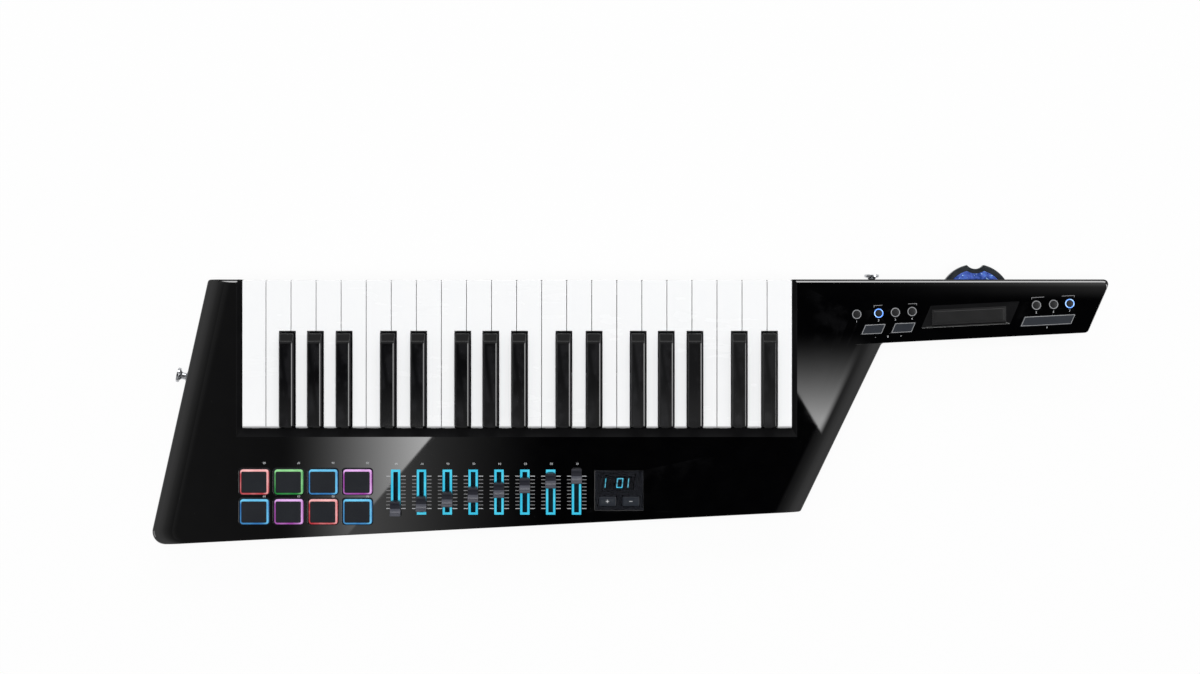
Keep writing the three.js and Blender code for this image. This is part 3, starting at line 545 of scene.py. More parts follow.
@cache
def dust_group() -> bpy.types.NodeTree:
    """Fine dust that settles on faces that look up."""
    wiring, given = shader_group(
        "settled_dust", {"Place": "Vector", "Colour": "Color", "Dust": "Color", "Amount": "Float"},
        {"Colour": "Color"},
    )
    normal = wiring.node("ShaderNodeNewGeometry").outputs["Normal"]
    up = wiring.node("ShaderNodeSeparateXYZ", {0: normal}).outputs["Z"]
    specks = wiring.noise(given["Place"], 900.0)
    mask = wiring.times(wiring.between(up, 0.6, 1.0), wiring.between(specks, 0.55, 0.8))
    mask = wiring.maths("MULTIPLY", mask, given["Amount"], clamp=True)
    wiring.node("NodeGroupOutput", {"Colour": wiring.blend(mask, given["Colour"], given["Dust"])})
    return wiring.tree


def blank_material(name: str) -> tuple[Material, Wiring, Node]:
    """Starts a material.

    Args:
        name: The material's name.

    Returns:
        The material, its wiring and its output node.
    """
    material = bpy.data.materials.new(name)
    material.use_nodes = True
    material.node_tree.nodes.clear()
    wiring = Wiring(material.node_tree)
    return material, wiring, wiring.node("ShaderNodeOutputMaterial")


# Finishes


DUST_COLOUR = (0.35, 0.34, 0.33, 1.0)
MOTTLING_PER_METRE = 60.0


@dataclass(frozen=True)
class Finish:
    """A finish with one shader, whose material is built once."""

    name: str

    @cache
    def material(self) -> Material:
        """The material."""
        material, wiring, out = blank_material(self.name)
        shader = wiring.node("ShaderNodeBsdfPrincipled", self.feeds(wiring, wiring.place()))
        wiring.tree.links.new(shader.outputs[0], out.inputs[0])
        return material

    def feeds(self, wiring: Wiring, place: Socket) -> dict[str, Any]:
        """What feeds each socket of the shader.

        Args:
            wiring: The wiring of the material.
            place: The place on the object.

        Returns:
            The shader's inputs by name.
        """
        raise NotImplementedError

    @staticmethod
    def handling(wiring: Wiring, place: Socket, clean: float, handled: float, size: float) -> Any:
        """The outputs of the handling marks.

        Args:
            wiring: The wiring of the material.
            place: The place on the object.
            clean: The roughness where it is clean.
            handled: The roughness where it is handled.
            size: The marks per metre.

        Returns:
            The mask and the roughness, by label.
        """
        return wiring.group(handling_group(), {
            "Place": place, "Clean": clean, "Handled": handled, "Size": size,
        })

    @staticmethod
    def grained(wiring: Wiring, place: Socket, grains: float, strength: float, depth: float) -> Socket:
        """The normal over a fine relief.

        Args:
            wiring: The wiring of the material.
            place: The place on the object.
            grains: The grains per metre.
            strength: How much of the relief is used.
            depth: Its depth in millimetres.

        Returns:
            The normal.
        """
        height = wiring.group(grain_group(), {"Place": place, "Grains per Metre": grains})["Height"]
        return wiring.node("ShaderNodeBump", {
            "Height": height, "Strength": strength, "Distance": depth * MM,
        }).outputs[0]


@dataclass(frozen=True)
class Moulding(Finish):
    """An opaque plastic or silicone: mottled colour, handled gloss, grain and rubbed edges."""

    colour: Colour
    mottled: Colour
    worn: Colour
    clean: float
    handled: float
    grains: float = 2500.0
    relief: float = 0.02
    wear: float = 0.25
    dust: float = 0.01
    marks: float = 14.0
    coat: float = 0.0
    specular: float = 0.5

    def feeds(self, wiring: Wiring, place: Socket) -> dict[str, Any]:
        """A mottled, worn and dusty colour over fine grain.

        Args:
            wiring: The wiring of the material.
            place: The place on the object.

        Returns:
            The shader's inputs by name.
        """
        worn = wiring.group(wear_group(), {
            "Place": place, "Colour": opaque(self.colour), "Mottled": opaque(self.mottled),
            "Worn": opaque(self.worn), "Wear": self.wear, "Mottling per Metre": MOTTLING_PER_METRE,
        })
        dusty = wiring.group(dust_group(), {
            "Place": place, "Colour": worn["Colour"], "Dust": DUST_COLOUR, "Amount": self.dust,
        })
        marks = self.handling(wiring, place, self.clean, self.handled, self.marks)
        return {
            "Base Color": dusty["Colour"], "Roughness": marks["Roughness"],
            "Normal": self.grained(wiring, place, self.grains, self.relief, 0.2),
            "Coat Weight": self.coat, "Coat Roughness": 0.015, "Specular IOR Level": self.specular,
        }


@dataclass(frozen=True)
class Metal(Finish):
    """Plated metal with fine wiping marks."""

    colour: Colour
    clean: float
    handled: float
    marked_share: float = 0.82

    def feeds(self, wiring: Wiring, place: Socket) -> dict[str, Any]:
        """A metal that is darker where it is marked.

        Args:
            wiring: The wiring of the material.
            place: The place on the object.

        Returns:
            The shader's inputs by name.
        """
        marks = self.handling(wiring, place, self.clean, self.handled, 180.0)
        marked = opaque(tuple(c * self.marked_share for c in self.colour))
        return {
            "Base Color": wiring.blend(marks["Mask"], opaque(self.colour), marked),
            "Roughness": marks["Roughness"], "Metallic": 1.0,
            "Normal": self.grained(wiring, place, 5000.0, 0.03, 0.05),
        }


@dataclass(frozen=True)
class Glow(Finish):
    """Silicone or acrylic lit from below, a little uneven, paler where the lamp sits."""

    colour: Colour
    pale: Colour
    strength: float
    patches: float = 90.0

    def feeds(self, wiring: Wiring, place: Socket) -> dict[str, Any]:
        """The same tone as colour and as light.

        Args:
            wiring: The wiring of the material.
            place: The place on the object.

        Returns:
            The shader's inputs by name.
        """
        tone = wiring.blend(self.pale_share(wiring, place), opaque(self.colour), opaque(self.pale))
        marks = self.handling(wiring, place, 0.4, 0.55, 40.0)
        return {"Base Color": tone, "Roughness": marks["Roughness"], "Emission Color": tone,
                "Emission Strength": self.strength}

    def pale_share(self, wiring: Wiring, place: Socket) -> Socket:
        """How pale the light is over the surface."""
        return wiring.between(wiring.noise(place, self.patches), 0.4, 0.68)


@dataclass(frozen=True)
class RimGlow(Glow):
    """The lit rim of a drum pad, with a painted highlight along its upper and low-note sides."""

    first: Point = (0.0, 0.0)
    pitch: Point = (1.0, 1.0)
    half: Point = (13.6, 12.0)

    def pale_share(self, wiring: Wiring, place: Socket) -> Socket:
        """How pale the light is, by where it is on its pad: a painted highlight along its upper and low-note
        sides, over uneven patches.

        Args:
            wiring: The wiring of the material.
            place: The place on the object.

        Returns:
            The share, from 0 to 1.
        """
        parts = wiring.node("ShaderNodeSeparateXYZ", {0: place})
        high, away = [], []
        for axis, pitch in enumerate(self.pitch):
            shifted = wiring.maths("SUBTRACT", parts.outputs[axis], (self.first[axis] - pitch / 2) * MM)
            along = wiring.maths("FLOORED_MODULO", shifted, pitch * MM)
            # The band near each pad's upper and low-note side, where the painted highlight goes.
            high.append(wiring.between(along, pitch * 0.72 * MM, pitch * 0.86 * MM))
            off = wiring.maths("ABSOLUTE", wiring.maths("SUBTRACT", along, pitch / 2 * MM))
            away.append(wiring.maths("SUBTRACT", off, self.half[axis] * MM))
        # Painted highlight: the upper and low-note sides of each rim are made paler, as if they caught the light.
        lit = wiring.maths("MAXIMUM", wiring.times(high[0], 0.75), high[1])
        outer = wiring.between(wiring.maths("MAXIMUM", *away), -0.75 * MM, -0.35 * MM, 1.0, 0.15)
        uneven = wiring.between(wiring.noise(place, self.patches), 0.35, 0.7)
        return wiring.maths("ADD", wiring.times(lit, outer, 0.8), wiring.times(uneven, 0.25), clamp=True)


@dataclass(frozen=True)
class Sparkle(Finish):
    """The lit inlay of the pitch wheel: bright specks in deep blue and violet."""

    tones: tuple[tuple[float, Colour], ...] = (
        (0.32, (0.003, 0.008, 0.045)), (0.72, (0.04, 0.22, 0.55)),
        (0.45, (0.010, 0.036, 0.18)), (0.56, (0.035, 0.065, 0.29)),
    )
    speck: Colour = (0.55, 0.85, 1.0)

    def feeds(self, wiring: Wiring, place: Socket) -> dict[str, Any]:
        """Clouds of blue with specks in some of the flakes.

        Args:
            wiring: The wiring of the material.
            place: The place on the object.

        Returns:
            The shader's inputs by name.
        """
        clouds = wiring.noise(place, 130.0, 5.0, Roughness=0.7)
        base = wiring.node("ShaderNodeValToRGB", {0: clouds})
        stops = base.color_ramp.elements
        for number, (position, colour) in enumerate(self.tones):
            stop = stops[number] if number < 2 else stops.new(position)
            stop.position = position
            stop.color = opaque(colour)
        flakes = wiring.node("ShaderNodeTexVoronoi", {"Vector": place, "Scale": 620.0})
        chosen = wiring.node("ShaderNodeSeparateColor", {0: flakes.outputs["Color"]}).outputs[0]
        lit = wiring.times(wiring.between(flakes.outputs["Distance"], 0.34, 0.08),
                           wiring.between(chosen, 0.52, 0.70))
        tone = wiring.blend(lit, base.outputs[0], opaque(self.speck))
        return {"Base Color": tone, "Roughness": wiring.between(clouds, 0.3, 0.7, 0.2, 0.4),
                "Emission Color": tone, "Emission Strength": 0.6}


@dataclass(frozen=True)
class Lens(Finish):
    """A smoked clear window."""

    tint: Colour
    marked_share: float = 0.9

    def feeds(self, wiring: Wiring, place: Socket) -> dict[str, Any]:
        """A clear tint that is darker where it is marked.

        Args:
            wiring: The wiring of the material.
            place: The place on the object.

        Returns:
            The shader's inputs by name.
        """
        marks = self.handling(wiring, place, 0.02, 0.08, 60.0)
        marked = opaque(tuple(c * self.marked_share for c in self.tint))
        return {
            "Base Color": wiring.blend(marks["Mask"], opaque(self.tint), marked),
            "Roughness": marks["Roughness"], "Transmission Weight": 1.0, "IOR": 1.49,
            "Specular IOR Level": 0.2,
        }


GLOSS_BLACK = Moulding("gloss_black", (0.0008, 0.0008, 0.0010), (0.0012, 0.0012, 0.0014),
                       (0.03, 0.03, 0.032), 0.012, 0.03, grains=1800, relief=0.002, wear=0.10,
                       dust=0.0008, marks=9, coat=1.0)
# A copy of the gloss black that reflects almost nothing, for the key well's walls and the ribbon recess: painted
# shade.
WELL_PAINTED_SHADE = Moulding("well_painted_shade", (0.0062, 0.0062, 0.0066), (0.0078, 0.0078, 0.0083),
                      (0.02, 0.02, 0.022), 0.5, 0.6, grains=1800, relief=0.15, wear=0.1,
                      dust=0.001, specular=0.02)
TEXTURED_BLACK = Moulding("textured_black", (0.016, 0.016, 0.018), (0.022, 0.022, 0.025),
                          (0.07, 0.07, 0.075), 0.42, 0.55, grains=1500, relief=0.35, wear=0.35)
BED_GREY = Moulding("bed_grey", (0.045, 0.045, 0.05), (0.06, 0.06, 0.065), (0.12, 0.12, 0.13),
                    0.45, 0.6, grains=1500, relief=0.25)
KEY_WHITE = Moulding("key_white", (0.950, 0.955, 0.960), (0.942, 0.948, 0.955), (0.96, 0.96, 0.96),
                     0.26, 0.30, grains=2200, relief=0.015, wear=0.1, dust=0.003, marks=22)
KEY_BLACK = Moulding("key_black", (0.0016, 0.0016, 0.0021), (0.0022, 0.0022, 0.0028),
                     (0.05, 0.05, 0.055), 0.05, 0.09, grains=2200, relief=0.01, wear=0.15,
                     dust=0.001, marks=30)
# A copy of the key black that reflects almost nothing, so the raised keys' sides render dark: painted shade.
KEY_FLANK_PAINTED_SHADE = Moulding("key_flank_painted_shade", (0.0040, 0.0040, 0.0050), (0.0060, 0.0060, 0.0072),
                     (0.02, 0.02, 0.022), 0.5, 0.6, grains=2200, relief=0.05, wear=0.1,
                     dust=0.0, marks=30, specular=0.02)
PAD_RUBBER = Moulding("pad_rubber", (0.0090, 0.0105, 0.0140), (0.0110, 0.0130, 0.0165),
                      (0.05, 0.055, 0.06), 0.5, 0.62, grains=1300, relief=0.3, marks=35, specular=0.3)
BUTTON_RUBBER = Moulding("button_rubber", (0.0110, 0.0140, 0.0200), (0.0135, 0.0165, 0.0230),
                         (0.06, 0.065, 0.07), 0.45, 0.58, grains=1800, relief=0.2, marks=60,
                         specular=0.3)
BUTTON_DARK = Moulding("button_dark", (0.0075, 0.0075, 0.0085), (0.0100, 0.0100, 0.0110),
                       (0.05, 0.05, 0.055), 0.45, 0.58, grains=1800, relief=0.2, marks=60,
                       specular=0.3)
RING_GREY = Moulding("ring_grey", (0.26, 0.265, 0.275), (0.30, 0.305, 0.315), (0.5, 0.5, 0.5),
                     0.35, 0.5, grains=2500, relief=0.08, marks=60)
# The caps' material, and a lighter copy of it for their lower halves: painted light.
CAP_DARK = Moulding("cap_dark", (0.0140, 0.0145, 0.0220), (0.0175, 0.0180, 0.0260),
                    (0.08, 0.08, 0.09), 0.4, 0.5, grains=2000, relief=0.15, marks=50, specular=0.35)
CAP_PAINTED_LIGHT = Moulding("cap_painted_light", (0.066, 0.068, 0.086), (0.078, 0.080, 0.098), (0.16, 0.16, 0.17),
                    0.4, 0.5, grains=2000, relief=0.15, marks=50, specular=0.35)
WHEEL_GREY = Moulding("wheel_grey", (0.0070, 0.0100, 0.0135), (0.0095, 0.0130, 0.0170),
                      (0.10, 0.105, 0.11), 0.35, 0.5, grains=1800, relief=0.2, marks=40, specular=0.3)
FILM_GREY = Moulding("film_grey", (0.0070, 0.0070, 0.0073), (0.0090, 0.0090, 0.0094),
                     (0.05, 0.05, 0.05), 0.35, 0.45, grains=2600, relief=0.12, marks=40, specular=0.3)
BOARD_GREY = Moulding("board_grey", (0.0040, 0.0040, 0.0055), (0.0060, 0.0060, 0.0080),
                      (0.03, 0.03, 0.03), 0.4, 0.5, relief=0.05, specular=0.2)
PRINT_WHITE = Moulding("print_white", (0.42, 0.43, 0.44), (0.50, 0.51, 0.52), (0.55, 0.55, 0.55),
                       0.4, 0.5, relief=0.05, wear=0.0, dust=0.0)
PRINT_GREY = Moulding("print_grey", (0.18, 0.18, 0.185), (0.22, 0.22, 0.225), (0.3, 0.3, 0.3),
                      0.4, 0.5, relief=0.05, wear=0.0, dust=0.0)
SCREW_BLACK = Metal("screw_black", (0.06, 0.06, 0.065), 0.35, 0.5)
CHROME = Metal("chrome", (0.50, 0.51, 0.53), 0.04, 0.12)
SLOT_CYAN = Glow("slot_cyan", (0.024, 0.36, 0.52), (0.050, 0.43, 0.58), 0.5, patches=60)
SLOT_DIM = Glow("slot_dim", (0.0010, 0.008, 0.013), (0.0015, 0.013, 0.020), 0.25, patches=60)
DIGIT_CYAN = Glow("digit_cyan", (0.09, 0.72, 0.86), (0.28, 0.86, 0.95), 2.6, patches=200)
RING_BLUE = Glow("ring_blue", (0.12, 0.32, 1.0), (0.42, 0.66, 1.0), 1.0, patches=220)
SMOKED = Lens("smoked_lens", (0.23, 0.24, 0.28))
WHEEL_SPARKLE = Sparkle("wheel_sparkle")


# Geometry Nodes


@dataclass
class Repeat:
    """A Geometry Nodes tree that makes what repeats, with named inputs."""

    name: str
    inputs: Sequence[tuple[str, str, Any]]
    values: dict[str, Any] = field(default_factory=dict)

    def start(self) -> tuple[Wiring, Any]:
        """Makes the tree and gives its wiring and the sockets that its inputs come out of."""
        tree = bpy.data.node_groups.new(self.name, "GeometryNodeTree")
        tree.interface.new_socket(name="Geometry", in_out="OUTPUT", socket_type="NodeSocketGeometry")
        tree.interface.new_socket(name="Geometry", in_out="INPUT", socket_type="NodeSocketGeometry")
        for label, kind, value in self.inputs:
            socket = tree.interface.new_socket(name=label, in_out="INPUT", socket_type=f"NodeSocket{kind}")
            if kind != "Material":
                socket.default_value = value
            self.values[label] = value
        wiring = Wiring(tree)
        return wiring, wiring.node("NodeGroupInput").outputs

    def finish(self, wiring: Wiring, given: Any, instances: Socket, base: Mesh | None = None) -> Mesh:
        """Closes the tree and makes its plain mesh.

        Args:
            wiring: The tree's wiring.
            given: The sockets that the inputs come out of.
            instances: What the tree has made.
            base: The mesh that the tree starts from, if any.

        Returns:
            The mesh, realised and in its material.
        """
        real = wiring.node("GeometryNodeRealizeInstances", {0: instances})
        dressed = wiring.node("GeometryNodeSetMaterial", {
            "Geometry": real.outputs[0], "Material": given["Material"],
        })
        wiring.node("NodeGroupOutput", {0: dressed.outputs[0]})
        holder = on_stage(self.name, base or bpy.data.meshes.new(self.name))
        modifier = holder.modifiers.new(self.name, "NODES")
        modifier.node_group = wiring.tree
        for item in wiring.tree.interface.items_tree:
            if item.in_out == "INPUT" and item.name in self.values:
                modifier[item.identifier] = self.values[item.name]
        mesh = flattened(holder)
        bpy.data.objects.remove(holder)
        return mesh


def rows_of_bars(name: str, size: Corner, counts: tuple[int, int], pitch: Point, first: Corner,
                 finish: Finish) -> Mesh:
    """Makes a grid of equal small bars with Geometry Nodes.

    Args:
        name: The tree's name.
        size: The size of one bar.
        counts: How many bars there are along X and Y.
        pitch: How far apart they are along X and Y.
        first: The middle of the first bar.
        finish: Their finish.

    Returns:
        The mesh of all bars.
    """
    repeat = Repeat(name, [
        ("Columns", "Int", counts[0]), ("Rows", "Int", counts[1]),
        ("Pitch X", "Float", pitch[0] * MM), ("Pitch Y", "Float", pitch[1] * MM),
        ("Bar", "Vector", metres(size)),
        ("Start", "Vector", metres(first)), ("Material", "Material", finish.material()),
    ])
    wiring, given = repeat.start()
    across = wiring.node("GeometryNodeMeshLine", {
        "Count": given["Columns"],
        "Offset": wiring.node("ShaderNodeCombineXYZ", {0: given["Pitch X"]}).outputs[0],
    }, mode="OFFSET")
    down = wiring.node("GeometryNodeMeshLine", {
        "Count": given["Rows"],
        "Offset": wiring.node("ShaderNodeCombineXYZ", {1: given["Pitch Y"]}).outputs[0],
    }, mode="OFFSET")
    bar = wiring.node("GeometryNodeMeshCube", {"Size": given["Bar"]})
    column = wiring.node("GeometryNodeInstanceOnPoints", {
        "Points": down.outputs[0], "Instance": bar.outputs[0],
    })
    field_of = wiring.node("GeometryNodeInstanceOnPoints", {
        "Points": across.outputs[0], "Instance": column.outputs[0],
    })
    moved = wiring.node("GeometryNodeTransform", {
        "Geometry": field_of.outputs[0], "Translation": given["Start"],
    })
    return repeat.finish(wiring, given, moved.outputs[0])


def row_of_frames(name: str, outer: Point, line: float, height: float, count: int, pitch: float,
                  first: Corner, finish: Finish) -> Mesh:
    """Makes a row of equal flat frames with Geometry Nodes.

    Args:
        name: The tree's name.
        outer: The outer width and length of a frame.
        line: The width of its line.
        height: Its height.
        count: How many frames there are.
        pitch: How far apart they are along X.
        first: The middle of the first frame.
        finish: Their finish.

    Returns:
        The mesh of all frames.
    """
    repeat = Repeat(name, [
        ("Count", "Int", count), ("Pitch", "Vector", (pitch * MM, 0.0, 0.0)),
        ("Outside", "Vector", (outer[0] * MM, outer[1] * MM, height * MM)),
        ("Inside", "Vector", ((outer[0] - 2 * line) * MM, (outer[1] - 2 * line) * MM, height * 3 * MM)),
        ("Start", "Vector", metres(first)), ("Material", "Material", finish.material()),
    ])
    wiring, given = repeat.start()
    whole = wiring.node("GeometryNodeMeshCube", {"Size": given["Outside"]})
    hole = wiring.node("GeometryNodeMeshCube", {"Size": given["Inside"]})
    ring = wiring.node("GeometryNodeMeshBoolean", {"Mesh 1": whole.outputs[0], "Mesh 2": hole.outputs[0]},
                       operation="DIFFERENCE")
    line_of = wiring.node("GeometryNodeMeshLine", {
        "Count": given["Count"], "Offset": given["Pitch"],
        "Start Location": given["Start"],
    }, mode="OFFSET")
    placed = wiring.node("GeometryNodeInstanceOnPoints", {
        "Points": line_of.outputs[0], "Instance": ring.outputs["Mesh"],
    })
    return repeat.finish(wiring, given, placed.outputs[0])


def screws_at(name: str, places: Sequence[Corner], radius: float, height: float,
              finish: Finish) -> Mesh:
    """Makes cross-head screws that look down, with Geometry Nodes.

    Args:
        name: The tree's name.
        places: The middle of each head.
        radius: The radius of a head.
        height: The height of a head.
        finish: Their finish.

    Returns:
        The mesh of all screws.
    """
    repeat = Repeat(name, [
        ("Radius", "Float", radius * MM), ("Height", "Float", height * MM),
        ("Cross", "Vector", (radius * 1.3 * MM, radius * 0.26 * MM, height * MM)),
        ("Cross Turned", "Vector", (radius * 0.26 * MM, radius * 1.3 * MM, height * MM)),
        ("Sink", "Vector", (0.0, 0.0, -height * 0.6 * MM)), ("Material", "Material", finish.material()),
    ])
    wiring, given = repeat.start()
    head = wiring.node("GeometryNodeMeshCylinder", {
        "Vertices": 24, "Radius": given["Radius"], "Depth": given["Height"],
    })
    left = head.outputs[0]
    for label in ("Cross", "Cross Turned"):
        arm = wiring.node("GeometryNodeMeshCube", {"Size": given[label]})
        sunk = wiring.node("GeometryNodeTransform", {
            "Geometry": arm.outputs[0], "Translation": given["Sink"],
        })
        left = wiring.node("GeometryNodeMeshBoolean", {"Mesh 1": left, "Mesh 2": sunk.outputs[0]},
                           operation="DIFFERENCE", solver="MANIFOLD").outputs["Mesh"]
    placed = wiring.node("GeometryNodeInstanceOnPoints", {
        "Points": given["Geometry"], "Instance": left,
    })
    points = bpy.data.meshes.new(f"{name}_points")
    points.from_pydata([metres(place) for place in places], [], [])
    return repeat.finish(wiring, given, placed.outputs[0], base=points)


# Sizes that more than one sub-assembly shares


@dataclass(frozen=True)
class Layout:
    """The sizes that the sub-assemblies share, in millimetres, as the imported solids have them."""

    field_edge: float = 258.5
    key_rear: float = -69.5
    upper_edge: float = 70.1
    split: float = 17.0
    deck: float = 46.0
    wall: float = 2.6
    seat_gap: float = 0.3
    move_gap: float = 0.5
    key_proud: float = 4.0
    key_height: float = 20.0
    neck_reach: float = 299.9
    neck_root_reach: float = 85.0
    neck_root_width: float = 59.8
    neck_end_width: float = 50.0
    neck_end_rake: float = 22.0
    tail_low: float = -179.9
    heel_rise: float = 31.6
    roll_width: float = 23.0
    roll_drop: float = 5.0
    edge_bevel: float = 0.6

    @property
    def corners(self) -> list[Point]:
        """The case's corners, anticlockwise from the top of the tail."""
        edge, top = self.field_edge, self.upper_edge
        return [
            (-edge - 31.9, top),
            (-edge - 87.6, self.tail_low),
            (edge + 8.5, self.tail_low + self.heel_rise),
            (edge + self.neck_root_reach, top - self.neck_root_width),
            (edge + self.neck_reach - self.neck_end_rake, top - self.neck_end_width),
            (edge + self.neck_reach, top),
        ]

    @property
    def key_top(self) -> float:
        """The height of the naturals' tops."""
        return self.deck + self.key_proud

    @property
    def key_bottom(self) -> float:
        """The height of the keys' lower edges."""
        return self.key_top - self.key_height

    def ring(self, rolled: float, straight: float, trim: float, upper: float | None = None,
             under: float | None = None, root: float = 4.5) -> list[Point]:
        """The case outline with its edges moved in.

        Args:
            rolled: How far the tail and the heel edges move.
            straight: How far the others move.
            trim: How far the whole ring is inside the case, for its corners' radii.
            upper: How far the upper edge moves, where that is different.
            under: How far the neck's lower edge moves, where that is different.
            root: The radius where the heel meets the neck.

        Returns:
            The points of the outline.
        """
        radii = [max(3 - trim, 1), max(12 - trim, 1), max(3 - trim, 1), root + trim,
                 max(4.5 - trim, 1), max(4.5 - trim, 1)]
        steps = [6, 12, 6, 6, 8, 8]
        distances = [rolled, straight, rolled, straight if under is None else under, straight,
                     straight if upper is None else upper]
        return rounded(inset(self.corners, distances), radii, steps)

    def neck(self, along: float, height: float) -> Point:
        """A place on the neck, by its reach past the keys and its height above the lower edge.

        Args:
            along: The reach past the keys' field, in millimetres.
            height: The height above the neck's lower edge.

        Returns:
            The place on the deck.
        """
        x = self.field_edge + along
        run = self.neck_reach - self.neck_end_rake - self.neck_root_reach
        tilt = (self.neck_root_width - self.neck_end_width) / run
        low = self.upper_edge - self.neck_root_width + (along - self.neck_root_reach) * tilt
        return x, low + height

    def neck_panel(self, start: float, width: float, base: float, length: float) -> list[Point]:
        """The corners of a four-sided place on the neck, raked like its end.

        Args:
            start: The share of the neck's reach where it starts.
            width: Its width as a share of the reach.
            base: Its height above the neck's lower edge.
            length: Its own height.

        Returns:
            Its corners, anticlockwise.
        """
        lean = length * self.neck_end_rake / self.neck_end_width
        begin, end = start * self.neck_reach, (start + width) * self.neck_reach
        return [self.neck(begin, base), self.neck(end, base),
                self.neck(end + lean, base + length), self.neck(begin + lean, base + length)]


PLAN = Layout()
PAD_FIRST = (-246.4, -119.7)
PAD_PITCH = (32.3, 28.0)
PAD_SIZE = (28.5, 24.7)
PAD_CENTRES = [
    (PAD_FIRST[0] + PAD_PITCH[0] * column, PAD_FIRST[1] - PAD_PITCH[1] * row)
    for row in range(2) for column in range(4)
]
FADER_FIRST = -113.65
FADER_PITCH = 24.27
FADER_MIDDLE = -129.7
WINDOW = (96.29, -128.1, 45.3, 36.9)
VALUE_SIZE = (15.7, 8.6)
VALUE_LOW = -142.65
VALUE_BUTTONS = [(WINDOW[0] + side, VALUE_LOW + VALUE_SIZE[1] / 2) for side in (-11, 11)]
BUTTON_LINE = 28.2
ROUND_BUTTONS = [PLAN.neck(share * PLAN.neck_reach, BUTTON_LINE)
                 for share in (0.203, 0.2718, 0.324, 0.3762, 0.7656, 0.8193, 0.87)]
BAR_BASE = 8.5
BAR_LENGTH = 9.8
BARS = {f"{name}_button": PLAN.neck_panel(start, width, BAR_BASE, BAR_LENGTH) for name, start, width in (
    ("octave_down", 0.2144, 0.0674), ("octave_up", 0.3081, 0.0674), ("sustain", 0.7136, 0.1617))}
RECESS = PLAN.neck_panel(0.4051, 0.2781, 12, 20.6)
RIBBON = [PLAN.neck(share * PLAN.neck_reach, height)
          for share, height in ((0.4385, 14), (0.6719, 14), (0.6719, 29), (0.4385, 29))]
WHEEL_DEPTH = 19.4
WHEEL = (PLAN.field_edge + 0.5805 * PLAN.neck_reach, PLAN.upper_edge - WHEEL_DEPTH)
DOOR = (0.0, -115.5, 116.0, 46.0)


def band(outer: float, inner: float, low: float, high: float) -> Mesh:
    """A band that follows the case outline, between two distances inside it and two heights.

    Args:
        outer: The band's outer distance, less than 0 outside the case.
        inner: Its inner distance.
        low: Its lower height.
        high: Its upper height.

    Returns:
        The mesh of the band.
    """
    def slab(away: float, bottom: float, top: float) -> Hull:
        """All that is inside the outline at a distance, between two heights."""
        ring = PLAN.ring(away, away, max(away, 0.0))
        return Hull().loft([level(ring, bottom), level(ring, top)])

    return worked(slab(outer, low, high), [(Work.CUT, slab(inner, low - 3, high + 3))])


# Sub-assemblies


